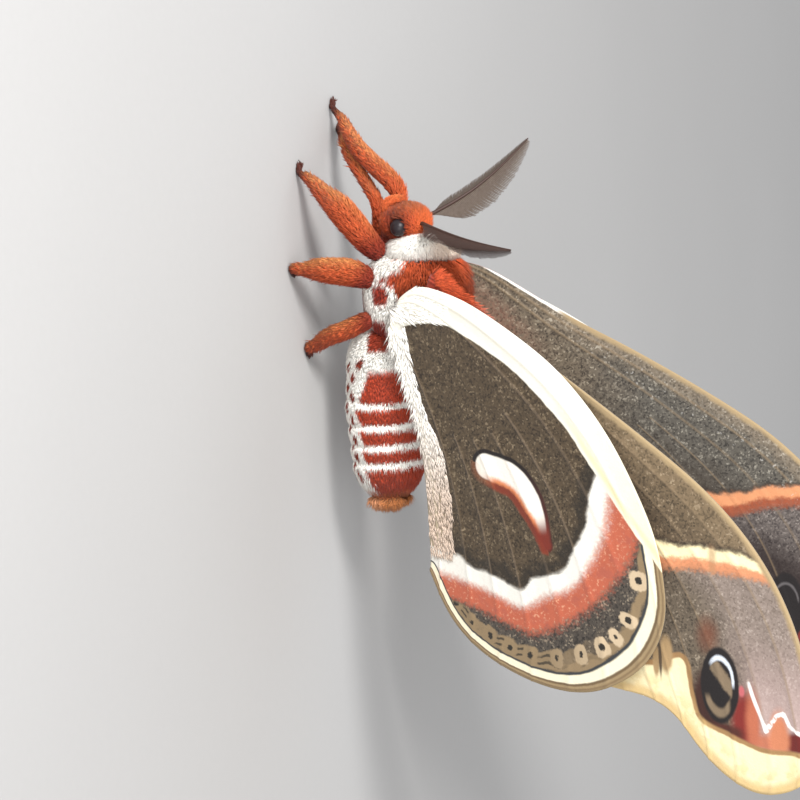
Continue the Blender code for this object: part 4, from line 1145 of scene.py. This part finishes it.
def mark_skin(skin):
    """Gives the skin the coat's markings, by the part of the body that each point is on."""
    count = len(skin.data.vertices)
    places, normals = np.empty(count * 3), np.empty(count * 3)
    skin.data.vertices.foreach_get("co", places)
    skin.data.vertices.foreach_get("normal", normals)
    places, normals = places.reshape(-1, 3) / MM + BOX_MIDDLE, normals.reshape(-1, 3)

    def ball_way(shape):
        apart = (np.abs((places - shape["centre"]) / skin_radii(shape)) ** shape["boxy"]).sum(1)
        return (apart ** (1 / shape["boxy"]) - 1) * 3

    def tube_way(line):
        near, share = np.full(count, FAR_OFF + 1), np.zeros(count)
        for k, station in enumerate(line):
            far = np.linalg.norm(places - station[:3], axis=1) - station[3]
            closer = far < near
            near[closer], share[closer] = far[closer], k / (len(line) - 1)
        return near, share

    claims = [(ball_way(shape), marking(places, normals)) for shape, marking in (
        (THORAX, thorax_marks), (COLLAR, collar_marks), (HEAD, head_marks))]
    claims.append((tube_way(BELLY)[0], abdomen_marks(places, normals)))
    claims += [(ball_way(lobe), clasper_marks(places, normals)) for lobe in CLASPERS]
    for line in LEG_LINES.values():
        way, share = tube_way(line)
        claims.append((way, leg_marks(places, normals, share)))
    claims += [(tube_way(line)[0], head_marks(places, normals)) for line in PALPS]
    marks, best = np.zeros((count, 4)), np.full(count, FAR_OFF)
    for way, found in claims:
        closer = way < best
        marks[closer], best[closer] = found[closer], way[closer]
    note(skin, "marks", marks[:, :3])
    note(skin, "hair", marks[:, 3:] * (0, 0, 1))


SKIN = body_skin()
mark_skin(SKIN)
SKIN.data.materials.append(MATERIALS["skin"])
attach(SKIN, "root")
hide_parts("thorax", "collar", "head", "abdomen", "claspers", *LEGS)


# Coat in place

def coat_thorax():
    roots, out, unwrap = on_ball(THORAX, TUFTS["thorax"])
    free = ~inside_ball(roots, COLLAR) & ~inside_tube(roots, BELLY)
    for line in LEG_LINES.values():
        free &= ~inside_tube(roots, line)
    roots, out, unwrap = keep(free, roots, out, unwrap)
    low, top = roots[:, 2] < 12, step(11.0, 15.0, roots[:, 2])
    lies = np.stack([0.15 * np.sign(roots[:, 0]) * low, np.ones(len(roots)), -0.35 * low], axis=1)
    coat("coat_thorax", roots, out, lies, thorax_marks(roots, out), unwrap,
         length=1.1 + 1.4 * top, lift=0.34 + 0.36 * top, width=0.2, slot="thorax",
         spread=0.18 + 0.12 * top[:, None])


def coat_collar():
    roots, out, unwrap = on_ball(COLLAR, TUFTS["collar"])
    free = ~inside_ball(roots, THORAX, -0.3) & ~inside_ball(roots, HEAD)
    roots, out, unwrap = keep(free, roots, out, unwrap)
    lies = np.array((0.0, 1.0, 0.0)) + 0.12 * out * (1, 0, 1)
    coat("coat_collar", roots, out, lies, collar_marks(roots, out), unwrap,
         length=1.35, lift=0.4, width=0.19, slot="collar", spread=0.25)


def coat_head():
    """Shaggy fur that runs down the face and stands out round the eyes."""
    roots, out, unwrap = on_ball(HEAD, TUFTS["head"])
    free = ~inside_ball(roots, COLLAR) & (eye_distance(roots) >= EYE_RADIUS - 0.05)
    roots, out, unwrap = keep(free, roots, out, unwrap)
    lies = np.array((0.0, -0.9, -0.45)) + 0.5 * out
    top = step(-0.2, 0.8, out @ np.array((0.0, -0.75, 0.66)))
    coat("coat_head", roots, out, lies, head_marks(roots, out), unwrap,
         length=1.1 + 0.15 * top, lift=0.52, width=0.18, slot="head", spread=0.6)
    roots, out, ways, share, unwrap = pair([on_tube(line, TUFTS["palp"]) for line in PALPS])
    coat("coat_palps", roots, out, ways, head_marks(roots, out), unwrap,
         length=0.7, lift=0.32, width=0.12, slot="head", spread=0.4)


def coat_abdomen():
    for half, first, last in (("front", 0.04, 0.5), ("rear", 0.5, 0.995)):
        roots, out, ways, share, unwrap = on_tube(BELLY, TUFTS["abdomen"], first, last)
        roots, out, ways, unwrap = keep(~inside_ball(roots, THORAX, -0.3), roots, out, ways, unwrap)
        tail = step(20.0, 23.0, roots[:, 1])
        coat("coat_abdomen_" + half, roots, out, ways, abdomen_marks(roots, out), unwrap,
             length=0.9 + 1.2 * tail, lift=0.32 - 0.08 * tail, width=0.19, slot="abdomen", spread=0.22)
    roots, out, unwrap = pair([on_ball(lobe, TUFTS["clasper"]) for lobe in CLASPERS])
    roots, out, unwrap = keep(~inside_tube(roots, BELLY, -0.4), roots, out, unwrap)
    lies = np.stack([-0.3 * roots[:, 0], np.ones(len(roots)), 0.3 * (ABDOMEN_HEIGHTS[-1][1] - roots[:, 2])],
                    axis=1)
    coat("coat_claspers", roots, out, lies, clasper_marks(roots, out), unwrap,
         length=1.35, lift=0.5, width=0.19, slot="claspers", spread=0.5)


def coat_legs():
    for hand in ("left", "right"):
        rows = []
        for name in (name for name in LEGS if name.endswith(hand)):
            line = LEG_LINES[name]
            roots, out, ways, share, unwrap = on_tube(line, TUFTS["leg"])
            free = ~inside_ball(roots, THORAX) & (roots[:, 2] > 0.05)
            roots, out, ways, share, unwrap = keep(free, roots, out, ways, share, unwrap)
            thick = np.interp(share, np.linspace(0, 1, len(line)), line[:, 3])
            unwrap = unwrap * (0.32, 1) + (len(rows) * 0.333, 0)      # a third of the map for each leg
            rows.append((roots, out, ways, leg_marks(roots, out, share), unwrap, thick, share))
        roots, out, ways, marks, unwrap, thick, share = (np.concatenate(row) for row in zip(*rows))
        bare = 1 - 0.75 * step(0.78, 0.92, share)
        coat("coat_legs_" + hand, roots, out, ways, marks, unwrap, length=1.35 * bare,
             lift=(0.2 + 0.42 * thick) * bare, width=0.12 + 0.07 * bare, slot="leg", spread=0.3)


def box_unwrap(places):
    return (places - places.min(0)) / np.ptp(places, axis=0)


def coat_wing_root(side, hand, face, name):
    """Long hair over a hindwing's root and along its edge by the body."""
    back, up, outward = wing_ways(side)
    strip, band, costa = HIND_MARKS["anal_strip"], HIND_MARKS["costal_band"], HINDWING["costa"]
    count = TUFTS["wing_root"]
    a, b = RNG.uniform(-1.5, 30, count), RNG.uniform(-0.5, 12, count)
    places = np.stack([a, b], axis=1)
    inner = off(places, HINDWING["inner"], 60)
    on_strip = (off(places, strip, 60) < 0.6) & (inner > 0.15) & (a > 3.5)
    on_root = ((off(places, band, 90) > 0.2) & (b < 8 - 0.2 * a) & (off(places, costa, 60) < -0.2)
               & (inner > 0.1 - 9 * (a < 4.5)))
    a, b, places, on_strip, inner = keep(on_strip | on_root, a, b, places, on_strip, inner)
    fringe = on_strip * (1 - step(0.0, 1.3, inner)) * (1 - step(13.0, 19.0, a))
    ways = unit(places - (1.0, -1.5) + on_strip[:, None] * (6.0, 0.0))
    ways = unit(ways - np.stack([0 * a, 0.65 * fringe], axis=1))
    tips = places + 1.4 * ways
    held = np.where(on_strip, off(tips, strip, 60) < 1.0,
                    (off(tips, costa, 60) < -0.25) & (off(tips, band, 90) > -0.1))
    a, b, places, fringe, ways = keep(held, a, b, places, fringe, ways)
    roots = on_wing(*swing("hindwing_" + hand, a, b), side, HINDWING["out"], face * 0.12)
    fade = step(10, 26, a)
    coat("coat_wing_root_" + hand + "_" + name, roots, np.broadcast_to(outward * face, roots.shape),
         ways[:, :1] * back + ways[:, 1:] * up, masks(1.0, 0.44 * fade, 0.24 * fade, 0.4), box_unwrap(places),
         length=1.4 - 0.2 * fade + 0.6 * fringe, lift=0.1, width=0.2, slot="hindwing", spread=0.13)


def coat_forewing_edge(side, hand, inset, lean):
    """Red hair on a forewing's front edge by the thorax, which fades out along it."""
    back, up, outward = wing_ways(side)
    costa, count = smooth_line(FOREWING["costa"], 200), TUFTS["forewing_edge"]
    stations = np.linspace(0, 1, len(costa))
    at = RNG.uniform(0, 1, count) ** 1.2 * 0.235
    way = unit(at_places(at, stations, np.gradient(costa, axis=0)))
    inward = np.stack([way[:, 1], -way[:, 0]], axis=1)
    places = at_places(at, stations, costa) + inward * (RNG.uniform(0.0, 1.6, (count, 1)) + inset)
    roots = on_wing(*places.T, side, FOREWING["out"], 0.1)
    over = way - inward * lean
    fade = step(10.0, 17.0, places[:, 1])
    coat("coat_forewing_edge_" + hand, roots, np.broadcast_to(outward, roots.shape),
         over[:, :1] * back + over[:, 1:] * up, masks(0.35 * fade, 0.3 * fade, 0.1 * fade, 0.3),
         box_unwrap(places), length=1.9 - 0.7 * fade, lift=0.25, width=0.17, slot="forewing", spread=0.15)


coat_thorax()
coat_collar()
coat_head()
coat_abdomen()
coat_legs()
for side, hand in SIDES:
    coat_wing_root(side, hand, LEFT, "outer")
    coat_wing_root(side, hand, RIGHT, "inner")
coat_forewing_edge(LEFT, "left", inset=0.15, lean=0.42)
coat_forewing_edge(RIGHT, "right", inset=1.0, lean=-0.1)


# Eyes, feelers and claws

def eyes():
    for side, hand in SIDES:
        centre = np.array(EYE_CENTRE) * (side, 1, 1)
        thing = add("eye_" + hand + "_ball", *ball(centre, (EYE_RADIUS,) * 3, across=48, rows=32))
        thing.data.materials.append(MATERIALS["eye"])
        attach(thing, "root")
        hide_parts("eye_" + hand)


def ray(spot, size, way, comb, lean):
    """One ray of a feeler, which leans forwards and thins to its tip."""
    reach = np.linspace(0, 1, 7)[:, None]
    middle = spot + lean * size * reach + way * size * RAY_LEAN * reach ** 2 + comb * 0.12 * size * reach ** 2
    wide = way * (RAY_WIDTH * (1 - 0.45 * reach ** 3))
    thick = np.cross(way, lean) * (RAY_THICKNESS * (1 - 0.6 * reach))
    ring = np.stack([middle + wide, middle + thick, middle - wide, middle - thick], axis=1)
    return closed_grid(ring, middle[0], middle[-1] + lean * 0.05)


def feelers():
    for name, (root, way, comb, bend) in ANTENNAE.items():
        root, way, comb = np.array(root), unit(np.array(way)), unit(np.array(comb))
        comb = unit(comb - way * (comb @ way))
        side = np.cross(way, comb)
        share = np.linspace(-0.05, 1, 40)
        bow = bend * np.sin(math.pi * np.clip(share, 0, 1))[:, None]
        line = root + way * ANTENNA_LENGTH * share[:, None] + comb * bow
        sunk = unit(np.array(HEAD["centre"]) - root)
        line += sunk * 1.1 * np.clip((0.03 - share) / 0.08, 0, 1)[:, None]
        radius = np.interp(share, (-0.05, 0.03, 0.07, 1), (0.26, 0.26, 0.24, 0.08))[:, None]
        stalk = add(name + "_stalk", *tube(np.concatenate([line, radius], axis=1), across=14))
        stalk.data.materials.append(MATERIALS["stalk"])
        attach(stalk, "root")
        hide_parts(name)
        at = np.linspace(0.07, 0.985, RAYS_A_SIDE)
        spread = (at - 0.05) / 0.95
        length = RAY_LONGEST * np.sin(math.pi * np.clip(spread, 0.004, 0.99) ** 0.72) ** 0.6
        length = length * (1 - 0.35 * spread)
        length = (length + 0.15) * (0.1 + 0.9 * step(-0.02, 0.2, spread)) * RNG.uniform(0.94, 1.04, len(at))
        leans = [comb * math.cos(COMB_OPENING) + side * hand * math.sin(COMB_OPENING)
                 for hand in (LEFT, RIGHT)]
        rays = add(name + "_comb", *joined([ray(spot, size, way, comb, lean) for lean in leans
                                            for spot, size in zip(at_places(at, share, line), length)]))
        rays.data.materials.append(MATERIALS[name.replace("antenna", "comb")])
        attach(rays, "root")


def claws():
    """Two hooks on each foot."""
    hooks = []
    for line in LEG_LINES.values():
        foot = line[-1, :3]
        way = unit((foot - line[-6, :3]) * (1, 1, 0))
        for hand in (LEFT, RIGHT):
            side = np.cross((0.0, 0.0, 1.0), way) * hand
            start = foot + side * 0.14
            hook = smooth_line(((*start, 0.1), (*(start + way * 0.3 + side * 0.1 + (0, 0, 0.04)), 0.07),
                                (*(start + way * 0.48 + side * 0.12 + (0, 0, -0.16)), 0.025)), 8)
            hook[:, 2] = np.maximum(hook[:, 2], hook[:, 3] + 0.01)
            hooks.append(tube(hook, across=8))
    thing = add("foot_claws", *joined(hooks))
    thing.data.materials.append(MATERIALS["claw"])
    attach(thing, "root")


eyes()
feelers()
claws()


# Floor, light and camera

def studio():
    corners = np.array(((-1, -1, 0), (1, -1, 0), (1, 1, 0), (-1, 1, 0))) * FLOOR_HALF + BOX_MIDDLE
    floor = add("studio_floor", corners, [np.array(((0, 1, 2, 3),))], smooth=False)
    floor.data.materials.append(MATERIALS["floor"])
    floor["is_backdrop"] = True
    world = bpy.data.worlds.new("studio_air")
    world.use_nodes = True
    world.node_tree.nodes["Background"].inputs["Color"].default_value = AIR_COLOUR
    world.node_tree.nodes["Background"].inputs["Strength"].default_value = AIR_STRENGTH
    bpy.context.scene.world = world
    for name, way, power, size in LIGHTS:
        data = bpy.data.lights.new(name, "AREA")
        data.energy, data.size = power, size
        lamp = bpy.data.objects.new(name, data)
        way = Vector(way).normalized()
        lamp.location = Vector(LIGHT_AIM) + way * LIGHT_DISTANCE
        lamp.rotation_euler = way.to_track_quat("Z", "Y").to_euler()
        bpy.context.scene.collection.objects.link(lamp)
    data = bpy.data.cameras.new("photo_camera")
    data.lens, data.sensor_width = LENS, FILM_WIDTH
    data.clip_start, data.clip_end = 0.01, 10.0
    camera = bpy.data.objects.new("photo_camera", data)
    back, up = Vector(CAMERA_BACK).normalized(), Vector(CAMERA_UP)
    up = (up - back * up.dot(back)).normalized()
    turn = Matrix((up.cross(back), up, back)).transposed().to_4x4()
    camera.matrix_world = Matrix.Translation(metres(TARGET + CAMERA_DISTANCE * np.array(back))) @ turn
    bpy.context.scene.collection.objects.link(camera)
    bpy.context.scene.camera = camera
    bpy.context.scene.view_settings.view_transform = "Standard"


studio()

plain = lambda box: [[float(v) for v in corner] for corner in box]
{"cad": plain(CAD_BOX), "visual": plain(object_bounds())}
